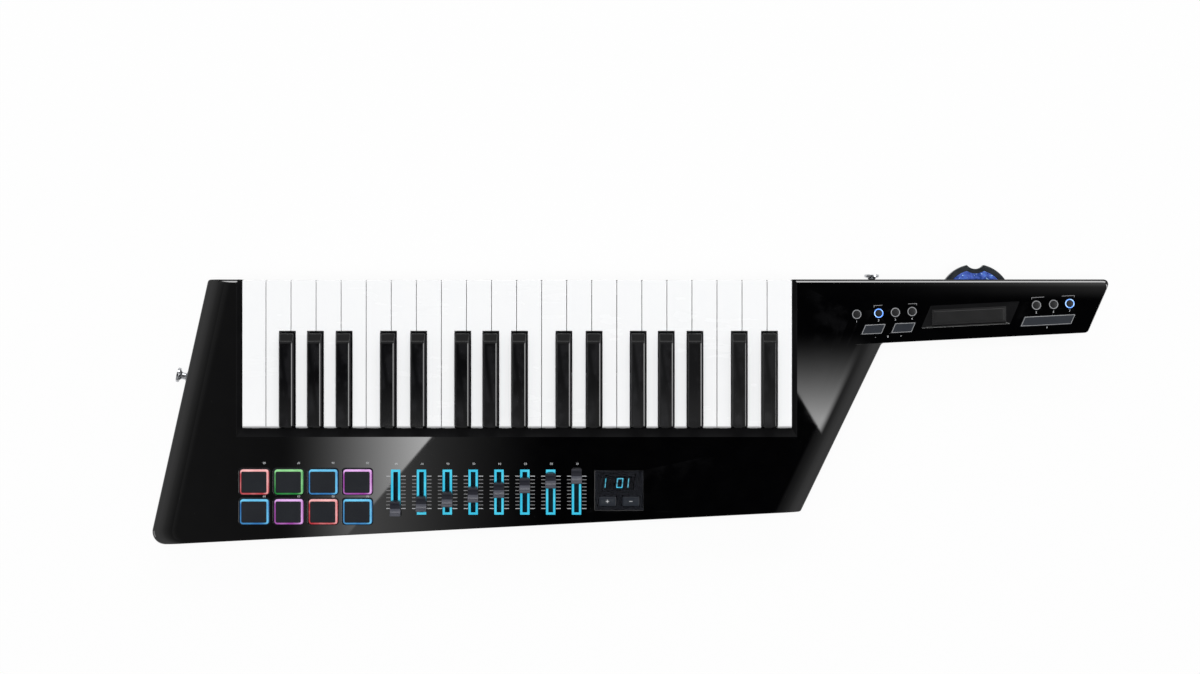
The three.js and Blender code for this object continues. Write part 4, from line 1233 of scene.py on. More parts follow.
@dataclass
class FrontShell:
    """The gloss front moulding with all its openings."""

    lip: float = 0.12
    recess: float = 0.35
    frame_size: Point = (8.9, 42.4)
    slot_size: Point = (4.2, 37.8)
    window_depth: float = 1.9
    ribbon_depth: float = 1.4
    well_drop: float = 4.0
    pan: float = 2.0
    groove_width: float = 1.8
    upper_edge: tuple[Level, ...] = (
        (1.15, 0.0), (1.0, 0.06), (0.9, 0.2), (0.85, 0.42), (0.80, 1.38), (0.775, 1.44),
        (0.03, 2.79), (0.0, 2.87),
    )

    def build(self) -> None:
        """Makes the shell and dresses it."""
        low = PLAN.split + PLAN.seat_gap
        shell = self.body().mesh("front_shell", [GLOSS_BLACK, WELL_PAINTED_SHADE])
        cavity = worked(self.hollow(low).mesh("cavity"), [(Work.CUT, self.funnel(PLAN.wall))])
        slot_top = PLAN.deck - self.well_drop - 2.1
        stems = Hull().block((-PLAN.field_edge - 0.5, PLAN.key_rear - 10.6, low - 3),
                             (PLAN.field_edge + 0.5, PLAN.key_rear + 3, slot_top))
        window = rectangle(*WINDOW)
        mesh = worked(shell, [
            (Work.CUT, cavity),
            (Work.CUT, self.funnel(0)),
            (Work.CUT, stems),
            (Work.JOIN, self.pan_under(window, self.window_depth)),
            (Work.JOIN, self.pan_under(RECESS, self.ribbon_depth)),
            (Work.CUT, self.openings()),
            (Work.CUT, self.deeper_openings()),
            (Work.CUT, self.wheel_slot()),
            (Work.CUT, band(PLAN.wall, PLAN.wall + self.groove_width, low - 3.3, low + 2.5)),
        ])
        # The ribbon recess's walls take the same near-unreflecting copy: painted shade.
        left, low_y = min(x for x, _ in RECESS), min(y for _, y in RECESS)
        right, high_y = max(x for x, _ in RECESS), max(y for _, y in RECESS)
        for face in mesh.polygons:
            x, y, z = face.center / MM
            inside = left < x < right and low_y < y < high_y and PLAN.deck - 1.5 < z < PLAN.deck - 0.005
            if inside and face.normal.y < 0.2:
                face.material_index = 1
        piece("front_moulding", mesh, CASE, ["front_shell"], crease=15)

    def body(self) -> Hull:
        """The outside, rolled at the tail and the heel, stepped above and rounded at its other edges."""
        low = PLAN.split + PLAN.seat_gap
        rings = [level(PLAN.ring(0.3, 0.3, 0.3), low), level(PLAN.ring(0, 0, 0), low + 0.3)]
        steps = 24
        drops = {PLAN.roll_drop * (1 - math.sin(math.pi / 2 * k / steps)) for k in range(steps + 1)}
        drops |= {drop for drop, _ in self.upper_edge}
        for drop in sorted(drops, reverse=True):
            rise = 1 - drop / PLAN.roll_drop
            rolled = PLAN.roll_width * (1 - math.sqrt(1 - rise * rise))
            over = max(0.0, 1 - drop / PLAN.edge_bevel)
            straight = PLAN.edge_bevel * (1 - math.sqrt(1 - over * over))
            outline = PLAN.ring(rolled, straight, 0, self.stepped(drop), 0, 0.3 + 4.2 * (1 - rise))
            rings.append(level(outline, PLAN.deck - drop))
        return Hull().loft(rings)

    def stepped(self, drop: float) -> float:
        """How far the upper edge is moved in at a drop below the deck.

        Args:
            drop: The drop below the deck.

        Returns:
            The distance that the edge is moved in.
        """
        for (high, outer), (low, inner) in zip(self.upper_edge, self.upper_edge[1:]):
            if low <= drop <= high:
                return inner + (outer - inner) * (drop - low) / (high - low)
        return 0.0

    def hollow(self, low: float) -> Hull:
        """The inside.

        Args:
            low: The lower edge of the shell.

        Returns:
            The cutter of the inside.
        """
        wall = PLAN.wall
        crown = PLAN.deck - wall
        insets = ((0, 0, low - 3), (0, 0, crown - 5), (0.2, 0, crown - 2.5), (0.55, 0, crown - 0.96),
                  (1, 1, crown))
        return Hull().loft([
            level(PLAN.ring(wall + share * PLAN.roll_width, wall + edge * PLAN.edge_bevel, wall), z)
            for share, edge, z in insets
        ])

    def funnel(self, wall: float) -> Hull:
        """The well that the keys stand in, wider by a wall where it keeps material.

        Args:
            wall: How much wider the well is.

        Returns:
            The well.
        """
        def mouth(side: float, rear: float) -> list[Point]:
            """The well's outline, wider by these gaps."""
            edge = PLAN.field_edge + side + wall
            back = PLAN.key_rear - rear - wall
            return [(-edge, back), (edge, back), (edge, PLAN.upper_edge + 3), (-edge, PLAN.upper_edge + 3)]

        deck = PLAN.deck
        rings = [level(mouth(0.5, 0.5), PLAN.split - 3), level(mouth(0.5, 0.5), deck - self.well_drop)]
        if wall:
            rings += [level(mouth(4.6, 8), deck), level(mouth(4.6, 8), deck + 3)]
            return Hull().loft(rings)
        # The well's walls take the second finish, the copy that reflects almost nothing: painted shade.
        rings += [level(mouth(4.3, 7.5), deck - 0.3), level(mouth(4.75, 8.15), deck - 0.08),
                  level(mouth(5.1, 8.5), deck + 0.02), level(mouth(5.1, 8.5), deck + 3)]
        return Hull().loft(rings, 1)

    def pan_under(self, outline: list[Point], depth: float) -> Hull:
        """The pan under the deck that carries a recessed piece.

        Args:
            outline: The outline of the piece.
            depth: The depth of its recess.

        Returns:
            The pan.
        """
        wide = shrunk(outline, -PLAN.wall)
        return Hull().loft([level(wide, PLAN.deck - depth - self.pan),
                            level(wide, PLAN.deck - PLAN.wall + 0.3)])

    def mouth(self, low: float) -> list[Level]:
        """The insets of a cutter that leaves a rounded edge at the deck.

        Args:
            low: The height of the cutter's lower end.

        Returns:
            The insets with their heights.
        """
        deck, lip = PLAN.deck, self.lip
        return [(0, low), (0, deck - lip), (-0.1 * lip, deck - 0.56 * lip), (-0.3 * lip, deck - 0.28 * lip),
                (-0.62 * lip, deck - 0.08 * lip), (-lip, deck + 0.01), (-lip, deck + 3)]

    def openings(self) -> Hull:
        """The cutters for all that comes through the deck."""
        gap = PLAN.move_gap
        under = PLAN.deck - PLAN.wall - 5
        hull = Hull()
        for x, y in PAD_CENTRES:
            pad = rectangle(x, y, PAD_SIZE[0] + 2 * gap, PAD_SIZE[1] + 2 * gap)
            hull.stack(pad, 2.8 + gap, self.mouth(under), steps=6)
        for i in range(8):
            frame_at = rectangle(FADER_FIRST + FADER_PITCH * i, FADER_MIDDLE, *self.frame_size)
            hull.stack(frame_at, 0.3, [(0, PLAN.deck - self.recess), (0, PLAN.deck + 3)], steps=2)
        for x, y in ROUND_BUTTONS:
            profile = [(4.5 + gap - away, z) for away, z in self.mouth(under)]
            hull.turned(profile, 40, x, y)
        for outline in BARS.values():
            hull.stack(outline, 0.5, self.mouth(under), steps=3)
        hull.stack(shrunk(rectangle(*WINDOW), -PLAN.seat_gap), 0.4,
                   self.mouth(PLAN.deck - self.window_depth), steps=3)
        deck = PLAN.deck
        hull.loft([level(softened(shrunk(outline, away), radius), z) for outline, away, radius, z in (
            (RIBBON, -PLAN.seat_gap, 0.5, deck - self.ribbon_depth), (RECESS, 0.12, 0.6, deck - 0.09),
            (RECESS, 0.0, 0.7, deck - 0.03), (RECESS, -0.15, 0.8, deck + 0.01),
            (RECESS, -0.15, 0.8, deck + 3))])
        return hull

    def deeper_openings(self) -> Hull:
        """The cutters that go on through the floors of the first ones."""
        gap = PLAN.move_gap
        under = PLAN.deck - PLAN.wall - 5
        top = PLAN.deck - 0.1
        hull = Hull()
        for i in range(8):
            slot = rectangle(FADER_FIRST + FADER_PITCH * i, FADER_MIDDLE, *self.slot_size)
            hull.stack(slot, 0.3, [(0, under), (0, top)], steps=2)
        for x, y in VALUE_BUTTONS:
            button = rectangle(x, y, VALUE_SIZE[0] + 2 * gap, VALUE_SIZE[1] + 2 * gap)
            hull.stack(button, 1 + gap, [(0, under), (0, top)])
        hull.stack(rectangle(WINDOW[0], WINDOW[1] + WINDOW[3] / 2 - 11.5, 30, 14), 0.5,
                   [(0, under), (0, top)])
        return hull

    def wheel_slot(self) -> Hull:
        """The slot in the upper side that the pitch wheel looks out of."""
        low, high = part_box("pitch_wheel")
        depth = WHEEL_DEPTH - PLAN.wall
        reach = math.sqrt(34.2 ** 2 - depth ** 2) + 1.3
        profile = rectangle(WHEEL[0], (low.z + high.z) / 2 / MM, 2 * reach, (high.z - low.z) / MM + 2.6)
        edge = PLAN.upper_edge
        rings = []
        for grow, y in ((0, edge - PLAN.wall - 3), (0, edge - 0.5), (0.12, edge - 0.15), (0.4, edge + 0.01),
                        (0.4, edge + 3)):
            grown = softened(shrunk(profile, -grow), 1.2 + grow)
            rings.append([(x, y, z) for x, z in grown])
        return Hull().loft(rings)


@dataclass
class BackShell:
    """The textured back moulding, its battery door and its screws."""

    inset: float = 11.0
    neck_back: float = 7.0
    neck_inset: float = 13.0
    blend: float = 30.0
    steps: int = 10
    post_x: float = 337.5
    screw_radius: float = 2.6
    screw_sink: float = 3.0
    rib_count: int = 9
    shadow_line: float = 0.45

    def build(self) -> None:
        """Makes the shell, the door and the screws."""
        mesh = self.body(0, PLAN.split, self.steps).mesh("back_shell", [TEXTURED_BLACK])
        neck = self.neck(0, PLAN.split, self.steps).mesh("neck")
        cavity = worked(self.body(PLAN.wall, PLAN.split + 3, 4).mesh("cavity"),
                        [(Work.JOIN, self.neck(PLAN.wall, PLAN.split + 3, 4))])
        mesh = worked(mesh, [
            (Work.JOIN, neck), (Work.CUT, cavity),
            (Work.JOIN, band(PLAN.wall + 0.3, PLAN.wall + 1.5, PLAN.split - 3, PLAN.split + 2.5)),
            (Work.JOIN, self.strap_boss()), (Work.CUT, self.strap_pocket()),
            (Work.JOIN, self.door_boss()), (Work.CUT, self.door_seat()),
            (Work.CUT, self.finger_notch()),
            (Work.CUT, self.tray()), (Work.JOIN, self.axle()),
            (Work.JOIN, self.screw_towers()), (Work.CUT, self.screw_wells()),
            (Work.CUT, band(-2, self.shadow_line, PLAN.split - 1.1, PLAN.split - 0.5)),
        ])
        piece("back_moulding", mesh, CASE, ["back_shell"])
        self.build_door()
        heads = screws_at("back_screws", [(x, y, self.back_at(x) + 2.0) for x, y in self.screw_places()],
                          self.screw_radius, 1.6, SCREW_BLACK)
        piece("back_screws", heads, CASE)

    def body(self, trim: float, top: float, steps: int) -> Hull:
        """The main tray, from the tail to the rake under the neck.

        Args:
            trim: How far the outline is shrunk.
            top: The height of the upper end.
            steps: The steps of each corner.

        Returns:
            The tray.
        """
        tail_top, tail_low, heel, root = PLAN.corners[:4]
        rake = (root[0] - heel[0]) / (root[1] - heel[1])
        shoulder = (root[0] + (PLAN.upper_edge - root[1]) * rake, PLAN.upper_edge)
        corners = [tail_top, tail_low, heel, shoulder]
        return self.bowl(corners, (3, 12, 3, 3), self.inset, 0, trim, top, steps)

    def neck(self, trim: float, top: float, steps: int) -> Hull:
        """The back of the neck, shallower and rounder for the hand.

        Args:
            trim: How far the outline is shrunk.
            top: The height of the upper end.
            steps: The steps of each corner.

        Returns:
            The neck's back.
        """
        corners = [PLAN.neck(PLAN.neck_root_reach - self.blend, 0), *PLAN.corners[4:],
                   (PLAN.field_edge + PLAN.neck_root_reach - self.blend, PLAN.upper_edge)]
        return self.bowl(corners, (3, 4.5, 4.5, 3), self.neck_inset, self.neck_back, trim, top, steps)

    def bowl(self, corners: Sequence[Point], radii: Sequence[float], draft: float, low: float,
             trim: float, top: float, steps: int) -> Hull:
        """A shell that swells from its flat back to the seam in a quarter ellipse.

        Args:
            corners: Its corners at the seam.
            radii: Their radii.
            draft: How far the flat back is inside the seam.
            low: The height of the back.
            trim: How far it is shrunk.
            top: The height that it is open at.
            steps: How many steps the curve has.

        Returns:
            The hull.
        """
        rings = []
        rise = PLAN.split - low
        for k in range(steps + 1):
            turn = math.pi / 2 * k / steps
            away = draft * (1 - math.sin(turn)) + trim
            z = top if k == steps else low + trim + (rise - trim) * (1 - math.cos(turn))
            rings.append(level(rounded(shrunk(corners, away), radii, [6] * 4), z))
        return Hull().loft(rings)

    def strap_boss(self) -> Hull:
        """The wall round the seat of the neck's strap button."""
        face = PLAN.upper_edge - 5.3
        return Hull().block((self.post_x - 10.8, face - 7, PLAN.wall / 2),
                            (self.post_x + 10.8, PLAN.upper_edge - PLAN.wall, PLAN.split - 0.3))

    def strap_pocket(self) -> Hull:
        """The seat of the neck's strap button."""
        return Hull().block((self.post_x - 9, PLAN.upper_edge - 5.3, -3),
                            (self.post_x + 9, PLAN.upper_edge + 3, PLAN.split - 0.3))

    def door_boss(self) -> Hull:
        """The thick frame round the battery door, with the tray's walls."""
        x, y, width, length = DOOR
        door = rectangle(x, y, width, length)
        frame_of = Hull().stack(shrunk(door, -1.6), 3, [(0, PLAN.wall / 2), (0, 5.6)])
        return frame_of.stack(shrunk(door, 2.4), 2, [(0, 5.5), (0, 18.6)])

    def door_seat(self) -> Hull:
        """The recess of the door."""
        levels = [(-0.7, -3), (-0.7, 0), (-0.45, 0.12), (-0.3, 0.4), (-0.3, 2.6)]
        return Hull().stack(rectangle(*DOOR), 4, levels, steps=8)

    def finger_notch(self) -> Hull:
        """The notch beside the door that a finger opens it from."""
        x, y, _, length = DOOR
        return Hull().stack(rectangle(x, y - length / 2 - 2.2, 16, 3.6), 1.6, [(0, -3), (0, 1.3)], steps=6)

    def tray(self) -> Hull:
        """The inside of the battery tray."""
        return Hull().stack(shrunk(rectangle(*DOOR), 4), 1, [(0, 1.0), (0, 17)])

    def axle(self) -> Hull:
        """The shoulder and the pin that the pitch wheel turns on."""
        low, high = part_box("pitch_wheel")
        seat = low.z / MM - PLAN.seat_gap
        top = high.z / MM + 2
        base = self.neck_back + PLAN.wall / 2
        return Hull().turned([(5.5, base), (5.5, seat), (3, seat + 0.01), (3, top - 0.5), (2.5, top)],
                             32, *WHEEL)

    def screw_places(self) -> list[Point]:
        """Where the screws of the back stand."""
        body = [(-285, 45), (-297, -20), (-318, -145), (-120, -150), (60, -142), (235, -135),
                (262, -45), (285, 45), (-95, 52), (95, 52)]
        return body + [PLAN.neck(110, 30), PLAN.neck(190, 8.5 + 16), PLAN.neck(268, 26)]

    def back_at(self, x: float) -> float:
        """The height of the flat back at a place along X."""
        return 0.0 if x < PLAN.field_edge + PLAN.neck_root_reach - 20 else self.neck_back

    def screw_towers(self) -> Hull:
        """The bosses that the screws sit in."""
        hull = Hull()
        for x, y in self.screw_places():
            base = self.back_at(x)
            hull.turned([(self.screw_radius + 2, base + 1.2), (self.screw_radius + 1.6, base + 7)], 24, x, y)
        return hull

    def screw_wells(self) -> Hull:
        """The wells that the screws are sunk in."""
        hull = Hull()
        for x, y in self.screw_places():
            base = self.back_at(x)
            wide = self.screw_radius + 0.35
            hull.turned([(wide + 0.5, base - 2), (wide + 0.5, base - 0.01), (wide + 0.1, base + 0.35),
                         (wide, base + 0.6), (wide, base + self.screw_sink)], 32, x, y)
        return hull

    def build_door(self) -> None:
        """Makes the battery door with its ribs and its latch tab."""
        x, y, width, length = DOOR
        outline = rectangle(x, y, width, length)
        panel = Hull().stack(outline, 4, [(0.4, 0.3), (0.1, 0.42), (0, 0.7), (0, 2.3)], steps=8)
        tab_low = y - length / 2 + 4.3
        tab = Hull().block((x - 8, tab_low, 1.5), (x + 8, tab_low + 1.8, 7.4)).mesh("tab")
        thumb = Hull().stack(rectangle(x, y - length / 2 + 7, 22, 6), 2.9,
                             [(-0.4, -1), (-0.3, 0.31), (0, 0.55), (0.6, 0.9)], steps=8).mesh("thumb")
        mesh = worked(panel.mesh("door", [TEXTURED_BLACK]), [(Work.JOIN, tab), (Work.CUT, thumb)])
        piece("battery_door_panel", mesh, CASE, ["battery_door"])
        ribs = rows_of_bars("door_ribs", (60, 0.9, 0.34), (1, self.rib_count), (0, 2.6),
                            (x, y - 6, 0.2), TEXTURED_BLACK)
        piece("battery_door_ribs", ribs, CASE)


@dataclass
class Keyboard:
    """The keys, each about its own hinge, and the bed below them."""

    low_gap: float = 1.0
    high_gap: float = 0.5
    front_shift: float = 1.6
    widened: float = 0.2
    edge_round: float = 0.75
    skirt: float = 1.7
    top_wall: float = 2.4
    tongue: float = 7.0
    tongue_height: float = 7.5
    tail: float = 6.0
    notch: float = 3.5
    sharp_rise: float = 11.5
    sharp_top: float = 11.5
    pitch: float = 23.5
    low_end_trim: float = 1.1
    rear_run: float = 2.5
    rear_drop: float = 4.0

    def build(self) -> None:
        """Makes every key and dresses the bed."""
        pivots = {joint["child"]: joint["pos_m"] for joint in frame["joints"] if joint["type"] == "hinge"}
        sharps = [box_of(name) for name in frame["nodes"] if name.startswith("sharp_")]
        for name in sorted(frame["nodes"]):
            if name.startswith("natural_"):
                mesh = self.natural(name, sharps, pivots[name])
                piece(f"{name}_key", mesh, name, [name])
            elif name.startswith("sharp_"):
                piece(f"{name}_key", self.sharp(name, pivots[name]), name, [name])
        bed = frame["nodes"]["key_bed"]
        bed.data.materials.clear()
        bed.data.materials.append(BED_GREY.material())
        log.info("key_bed keeps its packed shape in %s", BED_GREY.name)

    def hinge(self, x: float, rear: float, pivot: Sequence[float]) -> Hull:
        """The tongue behind a key, with the half-round notch that sits on the pivot bar.

        Args:
            x: The middle of the tongue.
            rear: Where the key's rear wall is along Y.
            pivot: The hinge's place, in metres.

        Returns:
            The tongue.
        """
        y, z = pivot[1] / MM, pivot[2] / MM
        steps = 12
        turns = [math.pi * k / steps for k in range(steps + 1)]
        arc = [(y - self.notch * math.cos(turn), z + self.notch * math.sin(turn)) for turn in turns]
        profile = [(y - self.tail, z), *arc, (rear + self.skirt / 2, z),
                   (rear + self.skirt / 2, z + self.tongue_height), (y - self.tail, z + self.tongue_height)]
        half = self.tongue / 2
        return Hull().loft([crosscut(profile, x - half), crosscut(profile, x + half)])

    def natural(self, name: str, sharps: Sequence[tuple[Vector, Vector]],
                pivot: Sequence[float]) -> Mesh:
        """A natural key with its tail cut clear of the raised keys beside it.

        Args:
            name: The node's name.
            sharps: The boxes of the raised keys, in millimetres.
            pivot: The hinge's place, in metres.

        Returns:
            The key's mesh.
        """
        low, high = box_of(name)
        left, right = low.x - self.widened, high.x + self.widened
        if low.x < 1 - PLAN.field_edge:
            left += self.low_end_trim
        rear, front = PLAN.key_rear, high.y

        def raised_at(edge: float) -> tuple[Vector, Vector] | None:
            """The box of the raised key over an edge between two naturals."""
            over = (box for box in sharps if abs((box[0].x + box[1].x) / 2 - edge) < self.pitch / 2)
            return next(over, None)

        on_low, on_high = raised_at(left), raised_at(right)
        tail_left = on_low[1].x + self.low_gap if on_low else left
        tail_right = on_high[0].x - self.high_gap if on_high else right
        head = sharps[0][1].y
        outline: list[Point] = [(tail_left, rear), (tail_right, rear)]
        radii = [0.3, 0.3]
        if on_high:
            outline += [(tail_right, head), (right, head)]
            radii += [0.3, 0.4]
        outline += [(right, front), (left, front)]
        radii += [1.3, 1.3]
        if on_low:
            outline += [(left, head), (tail_left, head)]
            radii += [0.4, 0.3]
        top, bottom = high.z, PLAN.key_bottom
        steps = [4] * len(outline)

        def ring(away: float, z: float) -> list[Corner]:
            """The key's outline, shrunk by a distance, at a height."""
            return level(rounded(shrunk(outline, away), [max(r - away * 0.4, 0.1) for r in radii], steps), z)

        rings = [ring(self.skirt, top - self.top_wall), ring(self.skirt, bottom), ring(0.2, bottom),
                 ring(0, bottom + 0.25)]
        rings += [ring(away, z) for away, z in rounding(top, self.edge_round)]
        body = Hull().loft(rings).mesh(name, [KEY_WHITE])
        middle = (tail_left + tail_right) / 2
        return worked(body, [(Work.CUT, self.rear_slope(middle, rear, top)),
                             (Work.JOIN, self.hinge(middle, rear, pivot))])

    def rear_slope(self, x: float, rear: float, top: float) -> Hull:
        """The cutter that rounds a natural down at its rear.

        Args:
            x: The middle of the key.
            rear: Where its rear wall is along Y.
            top: The height of its top.

        Returns:
            The cutter.
        """
        steps = 8
        curve = [(rear + self.rear_run * k / steps, top - self.rear_drop * (1 - k / steps) ** 2)
                 for k in range(steps + 1)]
        profile = [(rear - 2, top - self.rear_drop), *curve,
                   (rear + self.rear_run, top + 2), (rear - 2, top + 2)]
        return Hull().loft([crosscut(profile, x - self.pitch), crosscut(profile, x + self.pitch)])

    def sharp(self, name: str, pivot: Sequence[float]) -> Mesh:
        """A raised key, narrower at its top and sloped at its front.

        Args:
            name: The node's name.
            pivot: The hinge's place, in metres.

        Returns:
            The key's mesh.
        """
        low, high = box_of(name)
        x, base = (low.x + high.x) / 2, high.x - low.x
        rear, front = PLAN.key_rear + 1, high.y - self.front_shift
        bottom, shoulder = PLAN.key_bottom, PLAN.key_top
        top = shoulder + self.sharp_rise

        def ring(width: float, back: float, cut: float, z: float, radius: float) -> list[Corner]:
            """The key's outline at a height, with its ends moved in and its corners rounded."""
            outline = [(x - width / 2, rear + back), (x + width / 2, rear + back),
                       (x + width / 2, front - cut), (x - width / 2, front - cut)]
            return level(softened(outline, radius, 5), z)

        inner = base - 2 * self.skirt
        wide = self.sharp_top
        rings = [
            ring(inner, self.skirt, self.skirt, shoulder, 0.3),
            ring(inner, self.skirt, self.skirt, bottom, 0.3),
            ring(base - 0.4, 0.2, 0.2, bottom, 0.5),
            ring(base, 0, 0, bottom + 0.25, 0.6),
            ring(base, 0, 0, shoulder - 0.6, 0.8),
            ring(base - 0.2, 0, 0.08, shoulder + 0.5, 0.9),
            ring(base - 0.4, 0, 0.35, shoulder + 2.0, 1.0),
            ring(base - 0.6, 0.03, 0.6, shoulder + 3.5, 1.1),
            ring(base - 0.75, 0.05, 0.85, shoulder + 4.4, 1.2),
            ring(base - 0.85, 0.06, 1.3, shoulder + 4.95, 1.4),
            ring(base - 0.95, 0.07, 2.0, shoulder + 5.55, 1.5),
            ring(wide + 0.9, 0.15, 7.3, shoulder + 9.75, 1.5),
            ring(wide + 0.7, 0.2, 8.0, shoulder + 10.75, 1.2),
            ring(wide + 0.6, 0.25, 8.25, shoulder + 10.92, 1.1),
            ring(wide + 0.5, 0.3, 8.3, shoulder + 10.97, 1.0),
            ring(wide - 1.0, 1.05, 9.95, shoulder + 11.44, 0.8),
            ring(wide - 1.15, 1.15, 10.1, shoulder + 11.49, 0.8),
            ring(wide - 1.3, 1.3, 10.3, top, 0.8),
        ]
        body = Hull().loft(rings).mesh(name, [KEY_BLACK, KEY_FLANK_PAINTED_SHADE])
        # Faces that look more sideways than up take the copy that reflects almost nothing: painted shade on the
        # flanks.
        for face in body.polygons:
            face.material_index = int(face.normal.z < 0.4)
        return worked(body, [(Work.JOIN, self.hinge(x, rear, pivot))])


class RimColour(Enum):
    """The colours that the drum pads are lit in, each with its paler tone, used for the uneven patches and the
    painted highlight.
    """

    RED = ((0.35, 0.022, 0.032), (0.77, 0.40, 0.40))
    GREEN = ((0.006, 0.150, 0.025), (0.235, 0.55, 0.235))
    BLUE = ((0.016, 0.115, 0.32), (0.13, 0.47, 0.70))
    PURPLE = ((0.25, 0.042, 0.27), (0.64, 0.37, 0.70))


@dataclass
class PadBank:
    """Eight drum pads on their silicone sheet."""

    order: tuple[RimColour, ...] = (
        RimColour.RED, RimColour.GREEN, RimColour.BLUE, RimColour.PURPLE,
        RimColour.BLUE, RimColour.PURPLE, RimColour.RED, RimColour.BLUE,
    )
    size: Point = (27.1, 23.6)
    shift: Point = (0.15, -0.45)
    top: Point = (23.5, 19.75)
    top_shift: Point = (-0.45, -0.25)
    corner: float = 2.9
    rise: float = 1.4
    glow: float = 0.35

    def build(self) -> None:
        """Makes the sheet and the pads."""
        low, high = box_of("pad_mat")
        top = PLAN.deck - PLAN.wall - PLAN.seat_gap
        sheet = Hull().block((low.x, low.y, low.z), (high.x, high.y, top))
        piece("pad_sheet", sheet.mesh("pad_sheet", [PAD_RUBBER]), CASE, ["pad_mat"])
        for number, (x, y) in enumerate(PAD_CENTRES):
            colour, pale = self.order[number].value
            # Each rim's finish carries a painted highlight on its upper and low-note sides.
            rim = RimGlow(f"rim_{self.order[number].name.lower()}", colour, pale, self.glow,
                          first=PAD_FIRST, pitch=PAD_PITCH)
            piece(f"pad_{number + 1}", self.pad(x, y, top, rim), CASE)

    def pad(self, x: float, y: float, sheet: float, rim: RimGlow) -> Mesh:
        """One pad: a lit rim that holds a textured top.

        Args:
            x: Its middle along X.
            y: Its middle along Y.
            sheet: The top of the sheet.
            rim: The rim's lit finish.

        Returns:
            The pad's mesh.
        """
        deck = PLAN.deck
        x, y = x + self.shift[0], y + self.shift[1]
        outer = rectangle(x, y, *self.size)
        inner = rectangle(x + self.top_shift[0], y + self.top_shift[1], *self.top)
        levels = [(outer, 0, sheet - deck - 0.6, 1), (outer, 0, 0.35, 1), (outer, 0.08, 0.6, 1),
                  (outer, 0.3, 0.78, 1), (outer, 0.65, 0.84, 1), (inner, -0.35, 0.8, 1),
                  (inner, -0.12, 0.66, 1), (inner, -0.06, 0.4, 0), (inner, 0.02, 0.4, 0),
                  (inner, 0.04, 1.0, 0), (inner, 0.16, 1.2, 0), (inner, 0.45, 1.3, 0),
                  (inner, 2, 1.36, 0), (inner, 5, self.rise, 0)]
        rings = []
        for outline, away, z, _ in levels:
            radius = self.corner if outline is outer else self.corner - 1.7
            rings.append(level(softened(shrunk(outline, away), max(radius - away, 0.2), 8), deck + z))
        finishes = [1] + [finish for _, _, _, finish in levels[1:]] + [0]
        return Hull().loft(rings, finishes).mesh("pad", [PAD_RUBBER, rim])


